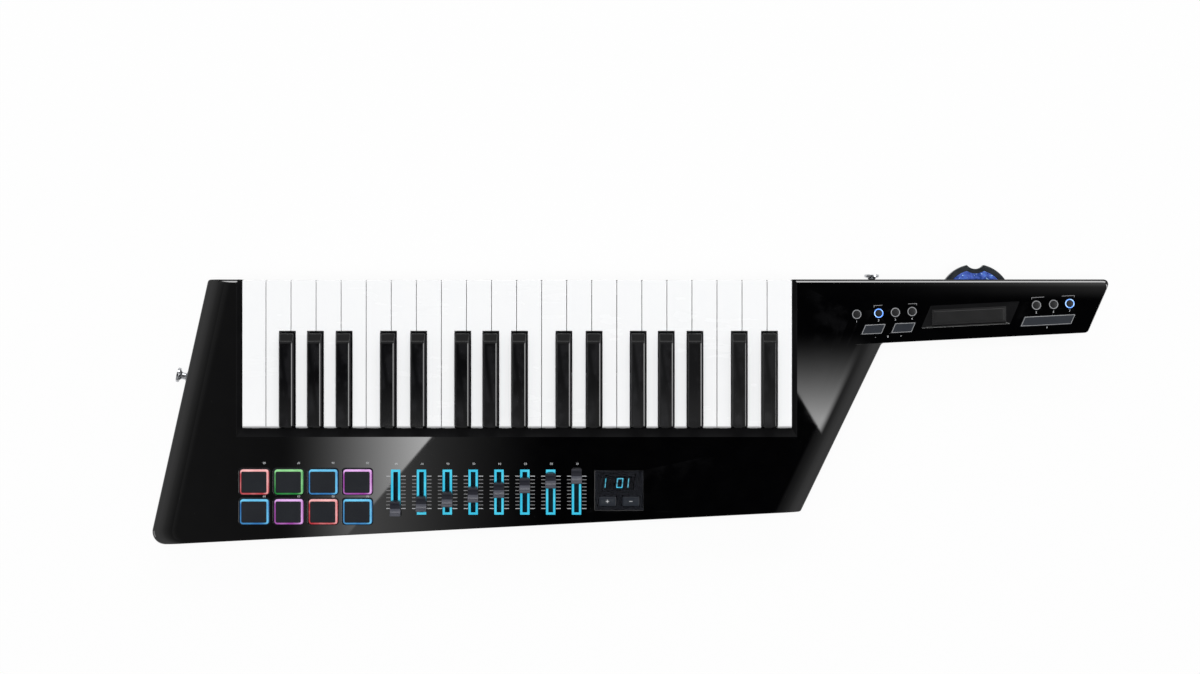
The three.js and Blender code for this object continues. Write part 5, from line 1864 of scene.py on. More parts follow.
@dataclass
class FaderBank:
    """Eight fader caps over their lit slots, with the printed scale beside each."""

    count: int = 8
    cap: Corner = (10.1, 15.4, 8.6)
    valley: float = 3.2
    taper: float = 0.8
    # Where the cap's lower half, in the lighter copy of its material, begins along the slot: painted light.
    middle: float = -0.6
    blade: Corner = (3.0, 6.0, 10.0)
    line: float = 2.15
    tick_rows: int = 10
    tick_pitch: float = 3.38
    tick_low: float = -145.1
    tick: float = 0.75
    board_top: float = 35.2

    def build(self) -> None:
        """Makes the light frames, the scale and the caps."""
        frames = row_of_frames("fader_frames", (8.8, 42.3), self.line, 0.34, self.count, FADER_PITCH,
                               (FADER_FIRST, FADER_MIDDLE, PLAN.deck - 0.15), SLOT_CYAN)
        piece("fader_light_frames", frames, CASE)
        self.build_board()
        rows = {"inner": (self.tick_rows - 2, self.tick_pitch, self.tick_pitch, PRINT_GREY),
                "end": (2, self.tick_pitch * (self.tick_rows - 1), 0.0, PRINT_WHITE)}
        for side, (start, length) in {"high_note": (-6.85, 4.0), "low_note": (7.2, 4.4)}.items():
            for kind, (count, pitch, shift, finish) in rows.items():
                ticks = rows_of_bars(f"ticks_{side}_{kind}", (length, self.tick, 0.06), (self.count, count),
                                     (FADER_PITCH, pitch),
                                     (FADER_FIRST + start, self.tick_low + shift, PLAN.deck + 0.02),
                                     finish)
                piece(f"fader_ticks_{side}_{kind}", ticks, CASE)
        for i in range(self.count):
            name = f"fader_cap_{i + 1}"
            low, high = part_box(name)
            middle = (low + high) / 2 / MM
            piece(f"{name}_cap", self.cap_mesh(middle.x, middle.y), name, [name])

    def build_board(self) -> None:
        """Makes the lit board below the slots, hung from the deck by posts."""
        top, under = self.board_top, PLAN.deck - PLAN.wall + 0.3
        first, last = FADER_FIRST - 8, FADER_FIRST + FADER_PITCH * (self.count - 1) + 8
        hull = Hull().block((first, FADER_MIDDLE - 24, top - 1.2), (last, FADER_MIDDLE + 24, top))
        lit = Hull()
        for i in range(self.count):
            x = FADER_FIRST + FADER_PITCH * i
            lit.block((x - 2.4, FADER_MIDDLE - 19.2, top - 0.1), (x + 2.4, FADER_MIDDLE + 19.2, top + 0.15))
        posts = Hull()
        for i in (0, 3, 6):
            for side in (-1, 1):
                posts.turned([(2, top - 0.1), (2, under)], 20, FADER_FIRST + FADER_PITCH * (i + 0.5),
                             FADER_MIDDLE + 22 * side)
        board = worked(hull.mesh("board", [BOARD_GREY]), [(Work.JOIN, posts)])
        piece("fader_board", board, CASE)
        piece("fader_throats", lit.mesh("throats", [SLOT_DIM]), CASE)

    def profile(self, away: float) -> list[Point]:
        """The cap seen from the side, anticlockwise about its foot, shrunk by a distance.

        Args:
            away: The distance it is shrunk by.

        Returns:
            The outline along the slot and upwards.
        """
        half, height = self.cap[1] / 2, self.cap[2]
        crest = half - self.taper
        points: list[Point] = [(-half + away, away), (half - away, away)]
        top = height - away
        points += [(crest + 0.12 - away, top - 1.2), (crest - 0.02 - away, top - 0.5),
                   (crest - 0.45 - away, top - 0.08), (crest - 1.0 - away, top), (crest - 1.5, top - 0.1)]
        steps = 12
        for k in range(steps + 1):
            turn = math.pi * k / steps
            y = (crest - 2.1) * math.cos(turn)
            dip = self.valley * math.sin(turn) ** 1.6
            points.append((y, top - 0.32 - dip * 0.9))
        points += [(-crest + 1.5, top - 0.1), (-crest + 1.0 + away, top), (-crest + 0.45 + away, top - 0.08),
                   (-crest + 0.02 + away, top - 0.5), (-crest - 0.12 + away, top - 1.2)]
        return points

    def cap_mesh(self, x: float, y: float) -> Mesh:
        """A cap with its blade, its lower half in a lighter copy of its material: painted light.

        Args:
            x: The middle of the cap across the slot.
            y: The middle of the cap along the slot.

        Returns:
            The mesh of the cap.
        """
        foot = PLAN.deck + 0.5
        half = self.cap[0] / 2
        rings = []
        for away, at in ((0.55, -half), (0.16, -half + 0.16), (0, -half + 0.55),
                         (0, half - 0.55), (0.16, half - 0.16), (0.55, half)):
            rings.append([(x + at, y + py, foot + pz) for py, pz in self.profile(away)])
        mesh = Hull().loft(rings).mesh("cap", [CAP_DARK, CAP_PAINTED_LIGHT])
        blade = Hull().block((x - self.blade[0] / 2, y - self.blade[1] / 2, PLAN.deck - self.blade[2]),
                             (x + self.blade[0] / 2, y + self.blade[1] / 2, foot + 1.8))
        mesh = worked(mesh, [(Work.JOIN, blade)])
        for corner in mesh.vertices:
            along = corner.co.y / MM - y
            rear = max(0.0, along - self.cap[1] / 2 + 1.6) * 0.8
            ends = rear + max(0.0, -along - self.cap[1] / 2 + 0.9) * 0.5
            corner.co.x = x * MM + (corner.co.x - x * MM) * (1 - (ends + (0.25 if along > 0 else 0)) / half)
        # Faces of the lower half, below the middle and above the foot, take the lighter copy: painted light.
        for face in mesh.polygons:
            face.material_index = int(face.center.y / MM - y < self.middle and face.center.z / MM > foot)
        return mesh


@dataclass
class DisplayPanel:
    """The smoked window over the lit figures, and the two value buttons in it."""

    thickness: float = 1.6
    digit: Point = (6.0, 9.2)
    stroke: float = 0.95
    slant: float = 0.10
    digit_middle: float = -121.3
    digits: tuple[tuple[float, str], ...] = ((80.9, "bc"), (96.9, "abcdef"), (107.4, "ef"))

    def build(self) -> None:
        """Makes the lens, the board below it, the figures and the buttons."""
        deck = PLAN.deck
        gap = PLAN.move_gap
        under = deck - self.thickness
        lens = Hull().stack(rectangle(*WINDOW), 0.3, [
            (0.1, under), (0, under + 0.1), (0, deck - 0.25), (0.1, deck - 0.06), (0.3, deck)], steps=3)
        holes = Hull()
        for x, y in VALUE_BUTTONS:
            holes.stack(rectangle(x, y, VALUE_SIZE[0] + 2 * gap, VALUE_SIZE[1] + 2 * gap), 1 + gap,
                        [(0, deck - 4), (0, deck + 3)])
        mesh = worked(lens.mesh("lens", [SMOKED]), [(Work.CUT, holes)])
        piece("display_lens", mesh, CASE, ["display_window"])
        board = Hull().block((WINDOW[0] - 14.6, WINDOW[1] + 0.1, deck - 3.4),
                             (WINDOW[0] + 14.6, WINDOW[1] + 13.6, deck - 2.6))
        piece("display_board", board.mesh("board", [BOARD_GREY]), CASE)
        figures = Hull()
        for x, segments in self.digits:
            for segment in segments:
                outline = self.segment(segment, x)
                figures.loft([level(outline, deck - 2.62), level(outline, deck - 2.2)])
        piece("display_figures", figures.mesh("figures", [DIGIT_CYAN]), CASE)
        self.build_buttons()

    def segment(self, name: str, x: float) -> list[Point]:
        """The outline of one bar of a seven-bar figure.

        Args:
            name: Its letter, a to f, as figures of this kind are lettered.
            x: The middle of the figure.

        Returns:
            Its corners, anticlockwise.
        """
        width, height = self.digit
        s = self.stroke / 2
        h, w = height / 2, width / 2
        bars = {
            "a": (-w, h - s, w, h - s), "d": (-w, -h + s, w, -h + s),
            "b": (w - s, 0, w - s, h), "c": (w - s, -h, w - s, 0),
            "f": (-w + s, 0, -w + s, h), "e": (-w + s, -h, -w + s, 0),
        }
        x0, y0, x1, y1 = bars[name]
        tip = 0.18
        if y0 == y1:
            points = [(x0 + tip, y0), (x0 + s + tip, y0 - s), (x1 - s - tip, y0 - s), (x1 - tip, y0),
                      (x1 - s - tip, y0 + s), (x0 + s + tip, y0 + s)]
        else:
            points = [(x0, y0 + tip), (x0 + s, y0 + s + tip), (x0 + s, y1 - s - tip), (x0, y1 - tip),
                      (x0 - s, y1 - s - tip), (x0 - s, y0 + s + tip)]
        return [(x + px + py * self.slant, self.digit_middle + py) for px, py in points]

    def build_buttons(self) -> None:
        """Makes the silicone sheet and its two buttons with their signs."""
        low, high = box_of("value_button_mat")
        deck = PLAN.deck
        sheet = Hull().block((low.x, low.y, low.z), (high.x, high.y, low.z + 2))
        piece("value_sheet", sheet.mesh("sheet", [BUTTON_RUBBER]), CASE,
              ["value_button_mat"])
        for label, (x, y) in zip(("more", "less"), VALUE_BUTTONS):
            button = Hull().stack(rectangle(x, y, *VALUE_SIZE), 1, [
                (0, low.z + 1.5), (0, deck + 0.3), (0.12, deck + 0.55), (0.4, deck + 0.7), (0.8, deck + 0.75),
                (2, deck + 0.8)], steps=5)
            piece(f"value_button_{label}", button.mesh("button", [BUTTON_RUBBER]), CASE)
            sign = Hull().block((x - 1.5, y - 0.35, deck + 0.78), (x + 1.5, y + 0.35, deck + 0.86))
            mesh = sign.mesh("sign", [PRINT_WHITE])
            if label == "more":
                upright = Hull().block((x - 0.35, y - 1.5, deck + 0.78), (x + 0.35, y + 1.5, deck + 0.86))
                mesh = worked(mesh, [(Work.JOIN, upright)])
            piece(f"value_sign_{label}", mesh, CASE)


@dataclass
class NeckControls:
    """The round buttons, the three four-sided buttons and the ribbon strip."""

    radius: float = 4.5
    lit: tuple[int, ...] = (1, 6)
    steps: int = 40
    bar_rise: float = 1.3
    film: float = 0.7
    sheet_reach: float = 6.25

    def build(self) -> None:
        """Makes all controls on the neck."""
        self.build_round_buttons()
        for name, outline in BARS.items():
            piece(f"{name}_cap", self.bar(outline), name, [name])
        self.build_ribbon()

    def build_round_buttons(self) -> None:
        """Makes the silicone sheet, the buttons and the rings round them."""
        low, _ = box_of("neck_button_mat")
        start = ROUND_BUTTONS[0][0] - self.sheet_reach - PLAN.field_edge
        end = ROUND_BUTTONS[-1][0] + self.sheet_reach - PLAN.field_edge
        under, over = BUTTON_LINE - self.sheet_reach, BUTTON_LINE + self.sheet_reach
        strip = [PLAN.neck(start, under), PLAN.neck(end, under), PLAN.neck(end, over), PLAN.neck(start, over)]
        sheet = Hull().stack(strip, 1, [(0, low.z), (0, low.z + 2)])
        piece("neck_button_sheet", sheet.mesh("sheet", [BUTTON_RUBBER]), CASE,
              ["neck_button_mat"])
        deck = PLAN.deck
        for number, (x, y) in enumerate(ROUND_BUTTONS):
            ring = RING_BLUE if number in self.lit else RING_GREY
            levels, finishes = dressed(deck, [
                (self.radius, low.z + 1.5 - deck, 1), (self.radius, 0.55, 0), (4.42, 0.75, 0),
                (4.28, 0.88, 0), (3.9, 0.95, 1), (3.6, 0.88, 1), (3.45, 0.7, 1), (3.4, 0.35, 0),
                (3.2, 0.35, 0), (3.16, 0.6, 0), (3.0, 0.78, 0), (2.5, 0.9, 0), (1.4, 0.97, 0),
                (0.4, 1.0, 0)])
            hull = Hull().turned(levels, self.steps, x, y, finishes)
            piece(f"round_button_{number + 1}", hull.mesh("button", [BUTTON_DARK, ring]),
                  CASE)

    def bar(self, outline: list[Point]) -> Mesh:
        """A four-sided button: a dark face inside a lighter chamfered rim, on its flange.

        Args:
            outline: The opening in the neck's face.

        Returns:
            The mesh of the button.
        """
        deck = PLAN.deck
        under = deck - PLAN.wall - PLAN.seat_gap
        face = shrunk(outline, PLAN.move_gap)
        levels, finishes = dressed(deck, [
            (0, under - deck - 1.6, 1), (0, 0.9, 1), (0.1, 1.15, 1), (0.3, 1.28, 1), (0.62, self.bar_rise, 1),
            (0.72, 1.24, 0), (0.8, 1.02, 0), (1.1, 1.0, 0), (2.2, 1.04, 0)])
        body = Hull().stack(face, 0.5, levels, finishes)
        mesh = body.mesh("bar", [BUTTON_RUBBER, RING_GREY])
        flange = Hull().stack(shrunk(outline, -1.6), 0.5, [(0, under - 1.6), (0, under)])
        return worked(mesh, [(Work.JOIN, flange.mesh("flange", [BUTTON_RUBBER]))])

    def build_ribbon(self) -> None:
        """Makes the ribbon strip, a thin film with a raised middle."""
        low = PLAN.deck - 1.4 + PLAN.seat_gap
        film = Hull().stack(shrunk(RIBBON, PLAN.seat_gap), 0.4, [
            (0, low), (0, low + 0.35), (0.3, low + 0.42), (1.7, low + 0.42), (1.9, low + 0.62),
            (2.2, low + self.film), (4, low + self.film)])
        piece("ribbon_film", film.mesh("film", [FILM_GREY]), CASE, ["ribbon_strip"])


@dataclass
class PitchWheel:
    """The wheel with its thumb notch and its lit inlay."""

    radius: float = 34.2
    rim: float = 5.2
    hub: float = 7.0
    notch_radius: float = 10.5
    notch_depth: float = 4.6
    chord: float = 16.0
    steps: int = 128
    bore: float = 3.5

    def build(self) -> None:
        """Makes the wheel and its inlay."""
        low, high = box_of("pitch_wheel")
        x, y = WHEEL
        bottom, top = low.z, high.z
        rim = self.radius - self.rim
        profile = [(self.bore, bottom), (self.radius - 0.8, bottom), (self.radius - 0.25, bottom + 0.2),
                   (self.radius, bottom + 0.8), (self.radius, top - 0.9), (self.radius - 0.3, top - 0.28),
                   (self.radius - 0.9, top), (rim + 0.3, top), (rim, top - 0.25), (rim, top - 0.8),
                   (self.hub, top - 0.8), (self.hub, top - 0.1), (self.hub - 0.3, top), (self.bore, top)]
        wheel = Hull().turned(profile, self.steps, x, y, loop=True).mesh("wheel", [WHEEL_GREY])
        notch_y = y + self.radius - self.notch_depth + self.notch_radius
        notch = Hull().turned([(self.notch_radius + more, z) for more, z in (
            (0.5, bottom - 3), (0.5, bottom + 0.01), (0, bottom + 0.5), (0, top - 0.6), (0.18, top - 0.18),
            (0.6, top + 0.01), (0.6, top + 3))], 96, x, notch_y)
        flat = Hull().block((x - 40, y - 40, bottom - 3), (x + 40, y - self.chord, top + 3))
        mesh = worked(wheel, [(Work.CUT, notch), (Work.CUT, flat)])
        piece("wheel_body", mesh, "pitch_wheel", ["pitch_wheel"], crease=40)
        self.build_inlay(x, y, top)

    def build_inlay(self, x: float, y: float, top: float) -> None:
        """Makes the lit inlay, scalloped below the thumb notch.

        Args:
            x: The wheel's axis.
            y: The wheel's axis.
            top: The height of the wheel's upper face.
        """
        rim = self.radius - self.rim
        disc = Hull().turned([
            (self.hub + 0.3, top - 0.85), (rim - 0.25, top - 0.85), (rim - 0.25, top - 0.3),
            (rim - 0.6, top - 0.1), (self.hub + 0.6, top - 0.1), (self.hub + 0.3, top - 0.3),
        ], self.steps, x, y, loop=True).mesh("inlay", [WHEEL_SPARKLE])
        notch_y = y + self.radius - self.notch_depth + self.notch_radius
        scallop = self.notch_radius + 4.4
        notch = Hull().turned([(scallop, top - 3), (scallop, top + 3)], 96, x, notch_y)
        flat = Hull().block((x - 40, y - 40, top - 3), (x + 40, y - self.chord + 0.6, top + 3))
        mesh = worked(disc, [(Work.CUT, notch), (Work.CUT, flat)])
        piece("wheel_inlay", mesh, "pitch_wheel", crease=40)


@dataclass
class StrapButtons:
    """The two chrome strap buttons."""

    height: float = 10.8
    flare_low: float = 5.4
    rim: float = 2.4
    dish: float = 0.8
    head: float = 7.0
    stem: float = 3.3
    foot: float = 4.9
    steps: int = 64

    def build(self) -> None:
        """Makes a button at each strap mount, along its axis."""
        mounts = {mount["name"]: mount for mount in frame["record"]["mounts"]}
        for end in ("tail", "neck"):
            name, mount = f"strap_button_{end}", mounts[f"strap_{end}"]
            axis = Vector(mount["axis"]).normalized()
            seat = Vector(mount["pos_m"]) - axis * self.height * MM
            place = Matrix.Translation(seat) @ axis.to_track_quat("Z", "Y").to_matrix().to_4x4()
            mesh = Hull().turned(self.profile(), self.steps).mesh(name, [CHROME], place)
            piece(f"{name}_metal", mesh, CASE, [name], crease=50)

    def profile(self) -> list[Level]:
        """The radius and the height of each ring, from the foot to the head."""
        top = self.height
        turns = [math.pi / 2 * k / 5 for k in range(6)]
        fillet = [(self.stem + 1.4 * (1 - math.sin(turn)), 1.7 + 1.4 * (1 - math.cos(turn)))
                  for turn in turns]
        rise = top - self.rim - 0.3 - self.flare_low
        flare = [(self.stem + (self.head - 0.4 - self.stem) * (1 - math.cos(math.pi / 2 * k / 8)),
                  self.flare_low + rise * math.sin(math.pi / 2 * k / 8)) for k in range(9)]
        low = top - self.dish
        head = [(self.head - less, z) for less, z in (
            (0.2, top - self.rim), (0, top - self.rim + 0.4), (0, top - 0.5), (0.15, top - 0.15), (0.5, top),
            (0.9, top - 0.06), (1.5, top - 0.4), (2.1, low + 0.08), (2.6, low))]
        return [(self.foot - 0.2, 0.3), (self.foot, 0.5), (self.foot, 1.3), (self.foot - 0.25, 1.6),
                *fillet, *flare, *head, (0.5, low)]


@dataclass
class Prints:
    """Plain numerals and lines printed on the panel and the neck."""

    thickness: float = 0.06
    size: float = 2.8

    def build(self) -> None:
        """Makes the numerals of the pads, the faders and the neck, and the brackets."""
        marks = [(f"{8 - number:02}", x + 9.4, y + 17.5 - 3.4 * (number // 4), True)
                 for number, (x, y) in enumerate(PAD_CENTRES)]
        marks += [(f"{8 - i:02}", FADER_FIRST + FADER_PITCH * i + 0.6, -103.0, True) for i in range(8)]
        marks += [(str(i + 1), x, y - 6.9, False) for i, (x, y) in enumerate(ROUND_BUTTONS)]
        marks += [("-", 337.0, 15.8, False), ("8", 348.7, 16.3, False), ("+", 360.9, 16.9, False),
                  ("9", 498.0, 24.8, False)]
        for number, (sign, x, y, turned) in enumerate(marks):
            piece(f"print_{number + 1}", self.numeral(sign, x, y, turned), CASE)
        for name, first, last, arm in (("left", 1, 3, 8.0), ("right", 4, 6, 12.0)):
            piece(f"print_bracket_{name}", self.bracket(ROUND_BUTTONS[first], ROUND_BUTTONS[last], arm), CASE)

    def numeral(self, sign: str, x: float, y: float, turned: bool) -> Mesh:
        """One printed numeral as a thin solid.

        Args:
            sign: The numeral.
            x: Its middle along X.
            y: Its middle along Y.
            turned: Whether it stands upside down.

        Returns:
            Its mesh.
        """
        curve = bpy.data.curves.new("numeral", "FONT")
        curve.body = sign
        curve.size = self.size * MM
        curve.align_x = "CENTER"
        curve.align_y = "CENTER"
        curve.extrude = self.thickness / 2 * MM
        curve.offset = 0.03 * MM
        curve.resolution_u = 4
        holder = on_stage("numeral", curve)
        mesh = flattened(holder)
        bpy.data.objects.remove(holder)
        turn = Matrix.Rotation(math.pi if turned else 0.0, 4, "Z")
        mesh.transform(Matrix.Translation((x * MM, y * MM, (PLAN.deck + 0.02) * MM)) @ turn)
        mesh.materials.clear()
        mesh.materials.append(PRINT_WHITE.material())
        merged(mesh)
        return mesh

    def bracket(self, start: Point, end: Point, arm: float) -> Mesh:
        """The two ends of a thin line above a group of round buttons, each turned down.

        Args:
            start: The first button of the group.
            end: The last.
            arm: How long each end is.

        Returns:
            Their mesh.
        """
        lift, drop, line, reach = 7.6, 1.8, 0.55, 4.6
        low, high = PLAN.deck - 0.01, PLAN.deck + self.thickness
        hull = Hull()
        slope = (end[1] - start[1]) / (end[0] - start[0])
        for (x, y), way in ((start, 1), (end, -1)):
            outer = x - reach * way
            top = y + lift - reach * way * slope
            inner = outer + line * way
            corners = [(outer, top - drop), (inner, top - drop), (inner, top - line),
                       (outer + arm * way, top - line + arm * way * slope),
                       (outer + arm * way, top + arm * way * slope), (outer, top)]
            outline = corners if way > 0 else corners[::-1]
            hull.loft([level(outline, low), level(outline, high)])
        return hull.mesh("bracket", [PRINT_GREY])


# Studio


@dataclass
class CardLight:
    """The glows of the card over the object, each by the place on the deck that mirrors it."""

    wiring: Wiring
    x: Socket
    y: Socket
    panel_edge: tuple[Point, Point] = ((-80.4, -79.8), (-154.6, -166.2))
    heel_edge: tuple[Point, Point] = ((261.3, -33.8), (285.7, -75.1))
    below_keys: Point = (-75.0, -73.5)

    def total(self) -> Socket:
        """All glows together."""
        glows = [self.tail(), self.panel(), self.haze(), self.heel(), self.neck_edge(), self.keys()]
        return reduce(lambda first, second: self.wiring.maths("ADD", first, second), glows)

    def beside(self, start: Point, end: Point) -> Socket:
        """How far a place is to the right of a line on the deck, in millimetres.

        Args:
            start: The line's first end.
            end: Its other end.

        Returns:
            The distance, less than 0 on the left.
        """
        along = (Vector(end) - Vector(start)).normalized()
        across = Vector((along.y, -along.x))
        if across.x < 0:
            across = -across
        runs = (self.wiring.times(self.wiring.maths("SUBTRACT", place, origin), share)
                for place, origin, share in zip((self.x, self.y), start, across))
        return self.wiring.maths("ADD", *runs)

    def grown(self, place: Socket, start: float, run: float, power: float, strength: float) -> Socket:
        """A strength that grows from a place over a run, by a power."""
        share = self.wiring.maths("DIVIDE", self.wiring.maths("SUBTRACT", place, start), run, clamp=True)
        return self.wiring.times(self.wiring.maths("POWER", share, power), strength)

    def panel(self) -> Socket:
        """A glow over the pads that grows towards one sharp slanting edge."""
        side = self.wiring.between(self.beside(*self.panel_edge), -2.0, 0.0, 1.0, 0.0)
        below = self.wiring.between(self.y, *self.below_keys, 1.0, 0.0)
        return self.wiring.times(self.grown(self.x, -222.2, 136.1, 2.0, 4.8), side, below)

    def haze(self) -> Socket:
        """A faint glow on the other side of that edge, fading over the faders."""
        side = self.wiring.between(self.beside(*self.panel_edge), -2.0, 0.0)
        below = self.wiring.between(self.y, *self.below_keys, 1.0, 0.0)
        return self.wiring.times(self.grown(self.x, 40.0, -172.0, 2.0, 0.55), side, below)

    def tail(self) -> Socket:
        """An even faint glow towards the tail."""
        return self.wiring.times(self.wiring.between(self.x, -110.0, -70.0, 1.0, 0.0), 0.050)

    def heel(self) -> Socket:
        """A glow beside the lowest note that grows towards a sharp slanting edge and fades on the roll.

        Past the flat of the deck, places are carried back to where the roll mirrors them.
        """
        wiring = self.wiring
        edge = self.beside(PLAN.corners[2], PLAN.corners[3])
        past = wiring.maths("MAXIMUM", wiring.maths("ADD", edge, PLAN.roll_width), 0.0)
        height = wiring.maths("ADD", self.y, wiring.times(past, 0.41))
        away = wiring.maths("SUBTRACT", self.beside(*self.heel_edge), wiring.times(past, 0.53))
        return wiring.times(self.grown(height, 22.5, -84.5, 2.2, 3.9), wiring.between(away, 0.0, 2.0),
                            wiring.between(edge, 40.0, 205.0, 1.0, 0.0),
                            wiring.between(self.x, 260.5, 262.5))

    def neck_edge(self) -> Socket:
        """A soft glow below the neck's upper edge that grows towards its end."""
        near = self.wiring.times(self.wiring.between(self.y, 62.5, 67.5), 0.55)
        wide = self.wiring.times(self.wiring.between(self.y, 50.0, 65.0), 0.20)
        return self.wiring.times(self.wiring.maths("ADD", near, wide),
                                 self.grown(self.x, 260.0, 283.0, 2.3, 1.0))

    def keys(self) -> Socket:
        """A faint glow over the keys that grows towards the high notes' rear and the low notes' side."""
        wiring = self.wiring
        both = wiring.maths("ADD", wiring.between(self.x, -180.0, 220.0, 0.0, 0.20),
                            wiring.between(self.y, -20.0, -62.0, 0.0, 0.24))
        return wiring.times(both, wiring.between(self.x, 256.0, 259.0, 1.0, 0.0),
                            wiring.between(self.x, -262.0, -258.0), wiring.between(self.y, -74.0, -71.0))


@dataclass
class Studio:
    """The pale floor, the soft light and the camera straight above."""

    aim: Point = (0.0783, 0.0160)
    distance: float = 2.4
    view_width: float = 1.1266
    focus: float = 0.047
    flag_height: float = 1.9
    even_light: float = 0.18
    floor_share: float = 0.92
    floor_side: float = 16.0
    floor_gap: float = 0.0006
    dark_lean: Corner = (-0.0400, -0.0300, 0.9987)
    mirrored: tuple[Point, ...] = (
        (5, 0.0), (8, 0.03), (11, 0.07), (15, 0.12), (20, 0.21), (26, 0.35), (36, 0.46), (62, 0.44),
        (90, 0.36),
    )

    def build(self) -> None:
        """Sets up everything that isn't the object."""
        bpy.context.scene.view_settings.view_transform = "Standard"
        self.camera()
        self.world()
        self.floor()
        self.flag()
        self.lights()

    def camera(self) -> None:
        """Makes the camera that looks straight down."""
        data = bpy.data.cameras.new("camera")
        data.sensor_width = 36.0
        data.lens = data.sensor_width * (self.distance - self.focus) / self.view_width
        data.clip_end = 50.0
        camera = on_stage("camera", data)
        camera.location = (*self.aim, self.distance)
        bpy.context.scene.camera = camera

    def world(self) -> None:
        """Lights the scene evenly, shows white behind it and is dark above for what the gloss mirrors."""
        world = bpy.data.worlds.new("studio")
        bpy.context.scene.world = world
        world.use_nodes = True
        world.cycles.sampling_method = "NONE"
        world.node_tree.nodes.clear()
        wiring = Wiring(world.node_tree)
        path = wiring.node("ShaderNodeLightPath")
        direction = wiring.node("ShaderNodeTexCoord").outputs["Generated"]
        lean = wiring.node("ShaderNodeVectorMath", {0: direction, 1: self.dark_lean}, operation="DOT_PRODUCT")
        angle = wiring.maths("DIVIDE", wiring.maths("ARCCOSINE", lean.outputs["Value"]), math.pi / 2)
        ramp = wiring.node("ShaderNodeValToRGB", {0: angle})
        stops = ramp.color_ramp.elements
        for number, (degrees, light) in enumerate(self.mirrored):
            stop = stops[number] if number < 2 else stops.new(degrees / 90)
            stop.position = degrees / 90
            stop.color = opaque((light, light, light))
        even = wiring.node("ShaderNodeBackground", {
            "Color": (0.97, 0.985, 1.0, 1.0), "Strength": self.even_light})
        gloss = wiring.node("ShaderNodeBackground", {"Strength": ramp.outputs[0]})
        gloss.inputs["Color"].default_value = (1.0, 1.0, 1.0, 1.0)
        white = wiring.node("ShaderNodeBackground", {"Color": (1.0, 1.0, 1.0, 1.0), "Strength": 1.0})
        lit = wiring.node("ShaderNodeMixShader", {0: path.outputs["Is Glossy Ray"], 1: even.outputs[0],
                                                  2: gloss.outputs[0]})
        shown = wiring.maths("MAXIMUM", path.outputs["Is Camera Ray"], path.outputs["Is Transmission Ray"])
        mixed = wiring.node("ShaderNodeMixShader", {0: shown, 1: lit.outputs[0], 2: white.outputs[0]})
        wiring.node("ShaderNodeOutputWorld", {0: mixed.outputs[0]})

    def floor(self) -> None:
        """Makes the floor, white to the camera but for a part that keeps the shadow."""
        material, wiring, out = blank_material("floor")
        path = wiring.node("ShaderNodeLightPath")
        darker, lighter = ((grey, grey, grey, 1.0) for grey in (0.86, 0.88))
        tone = wiring.blend(wiring.noise(wiring.place(), 40.0), darker, lighter)
        matte = wiring.node("ShaderNodeBsdfDiffuse", {"Color": tone})
        white = wiring.node("ShaderNodeEmission", {"Color": (1.0, 1.0, 1.0, 1.0), "Strength": 1.0})
        seen = wiring.maths("MAXIMUM", path.outputs["Is Camera Ray"], path.outputs["Is Transmission Ray"])
        seen = wiring.maths("MAXIMUM", seen, path.outputs["Is Glossy Ray"])
        shown = wiring.times(seen, self.floor_share)
        mixed = wiring.node("ShaderNodeMixShader", {0: shown, 1: matte.outputs[0], 2: white.outputs[0]})
        wiring.tree.links.new(mixed.outputs[0], out.inputs[0])
        material.cycles.emission_sampling = "NONE"
        self.sheet("floor", rectangle(0, 0, self.floor_side, self.floor_side), -self.floor_gap, material)

    def flag(self) -> None:
        """Hangs a clear card over the object that adds soft glows, only for what the gloss mirrors."""
        material, wiring, out = blank_material("flag")
        parts = wiring.node("ShaderNodeSeparateXYZ", {0: wiring.place()})
        deck = PLAN.deck * MM
        scale = (self.distance - deck) / (self.distance + self.flag_height - 2 * deck) / MM
        x, y = (wiring.maths("ADD", wiring.times(parts.outputs[axis], scale),
                             self.aim[axis] * (1 / MM - scale)) for axis in range(2))
        glows = CardLight(wiring, x, y)
        light = wiring.node("ShaderNodeEmission", {"Color": (1.0, 1.0, 1.0, 1.0), "Strength": glows.total()})
        edge = glows.beside(PLAN.corners[2], PLAN.corners[3])
        beyond = wiring.times(wiring.between(edge, -23.0, 20.0), wiring.between(y, -12.0, -2.0, 1.0, 0.0))
        open_share = wiring.maths("MAXIMUM", wiring.between(x, -200.0, -120.0, 1.0, 0.0), beyond)
        clear = wiring.node("ShaderNodeBsdfTransparent", {"Color": open_share})
        both = wiring.node("ShaderNodeAddShader", {0: clear.outputs[0], 1: light.outputs[0]})
        wiring.tree.links.new(both.outputs[0], out.inputs[0])
        material.cycles.emission_sampling = "NONE"
        card = self.sheet("flag", rectangle(0.15, -0.125, 1.9, 0.65)[::-1], self.flag_height, material)
        card.visible_camera = False
        card.visible_diffuse = False
        card.visible_shadow = False
        card.visible_transmission = False

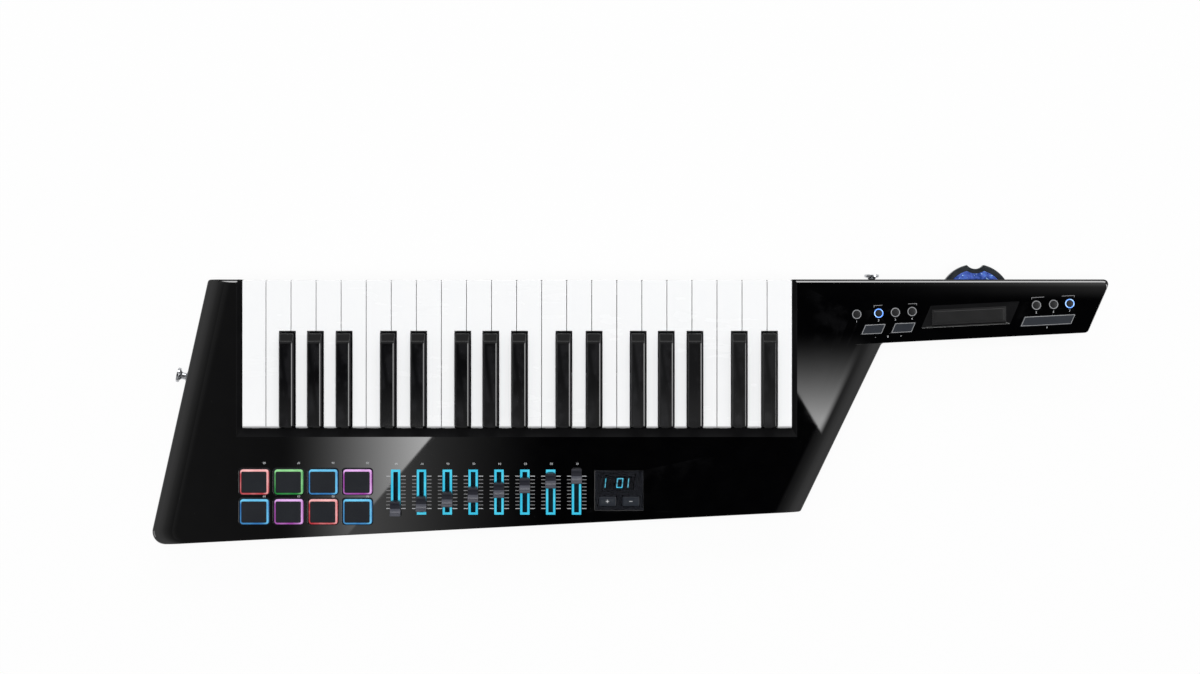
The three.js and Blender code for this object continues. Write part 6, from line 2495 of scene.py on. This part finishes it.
    @staticmethod
    def sheet(name: str, outline: list[Point], z: float, material: Material) -> bpy.types.Object:
        """Makes a flat sheet of the stage, in metres.

        Args:
            name: Its name.
            outline: Its outline, in metres.
            z: Its height, in metres.
            material: Its material.

        Returns:
            The new object.
        """
        mesh = bpy.data.meshes.new(name)
        mesh.from_pydata(level(outline, z), [], [(0, 1, 2, 3)])
        mesh.materials.append(material)
        made = on_stage(name, mesh)
        return made

    def lights(self) -> None:
        """Places the overhead light, the window light and the strips that only the gloss mirrors."""
        sun = bpy.data.lights.new("overhead", "SUN")
        sun.energy = 2.24
        sun.angle = math.radians(30)
        lamp = on_stage("overhead", sun)
        lamp.visible_glossy = False
        lamp.visible_transmission = False
        self.softbox("window", (0.1, 2.6, 2.2), (3.0, 1.5), 27).visible_glossy = False
        self.softbox("upper_strip", (0.62, 2.0, 1.15), (2.75, 0.9), 44).visible_diffuse = False
        self.softbox("low_note_strip", (2.3, 0.15, 1.7), (1.3, 1.6), 44).visible_diffuse = False
        self.softbox("high_note_strip", (-2.6, -0.7, 1.1), (0.9, 0.8), 3.6).visible_diffuse = False

    def softbox(self, name: str, place: Corner, size: Point, power: float) -> bpy.types.Object:
        """Makes one soft box that looks at the object.

        Args:
            name: Its name.
            place: Where it stands, in metres.
            size: Its width and height.
            power: Its power in watts.

        Returns:
            The lamp.
        """
        data = bpy.data.lights.new(name, "AREA")
        data.shape = "RECTANGLE"
        data.size, data.size_y = size
        data.energy = power
        lamp = on_stage(name, data)
        lamp.location = place
        aim = Vector((*self.aim, 0.03)) - Vector(place)
        lamp.rotation_euler = aim.to_track_quat("-Z", "Y").to_euler()
        lamp.visible_camera = False
        lamp.visible_transmission = False
        return lamp


def main() -> None:
    """Builds the sub-assemblies in order and lights them."""
    logging.basicConfig(level=logging.INFO, format="%(name)s: %(message)s")
    for part in (FrontShell(), BackShell(), Keyboard(), PadBank(), FaderBank(), DisplayPanel(),
                 NeckControls(), PitchWheel(), StrapButtons(), Prints(), Studio()):
        log.info("building %s", type(part).__name__)
        part.build()


if __name__ == "__main__":
    main()
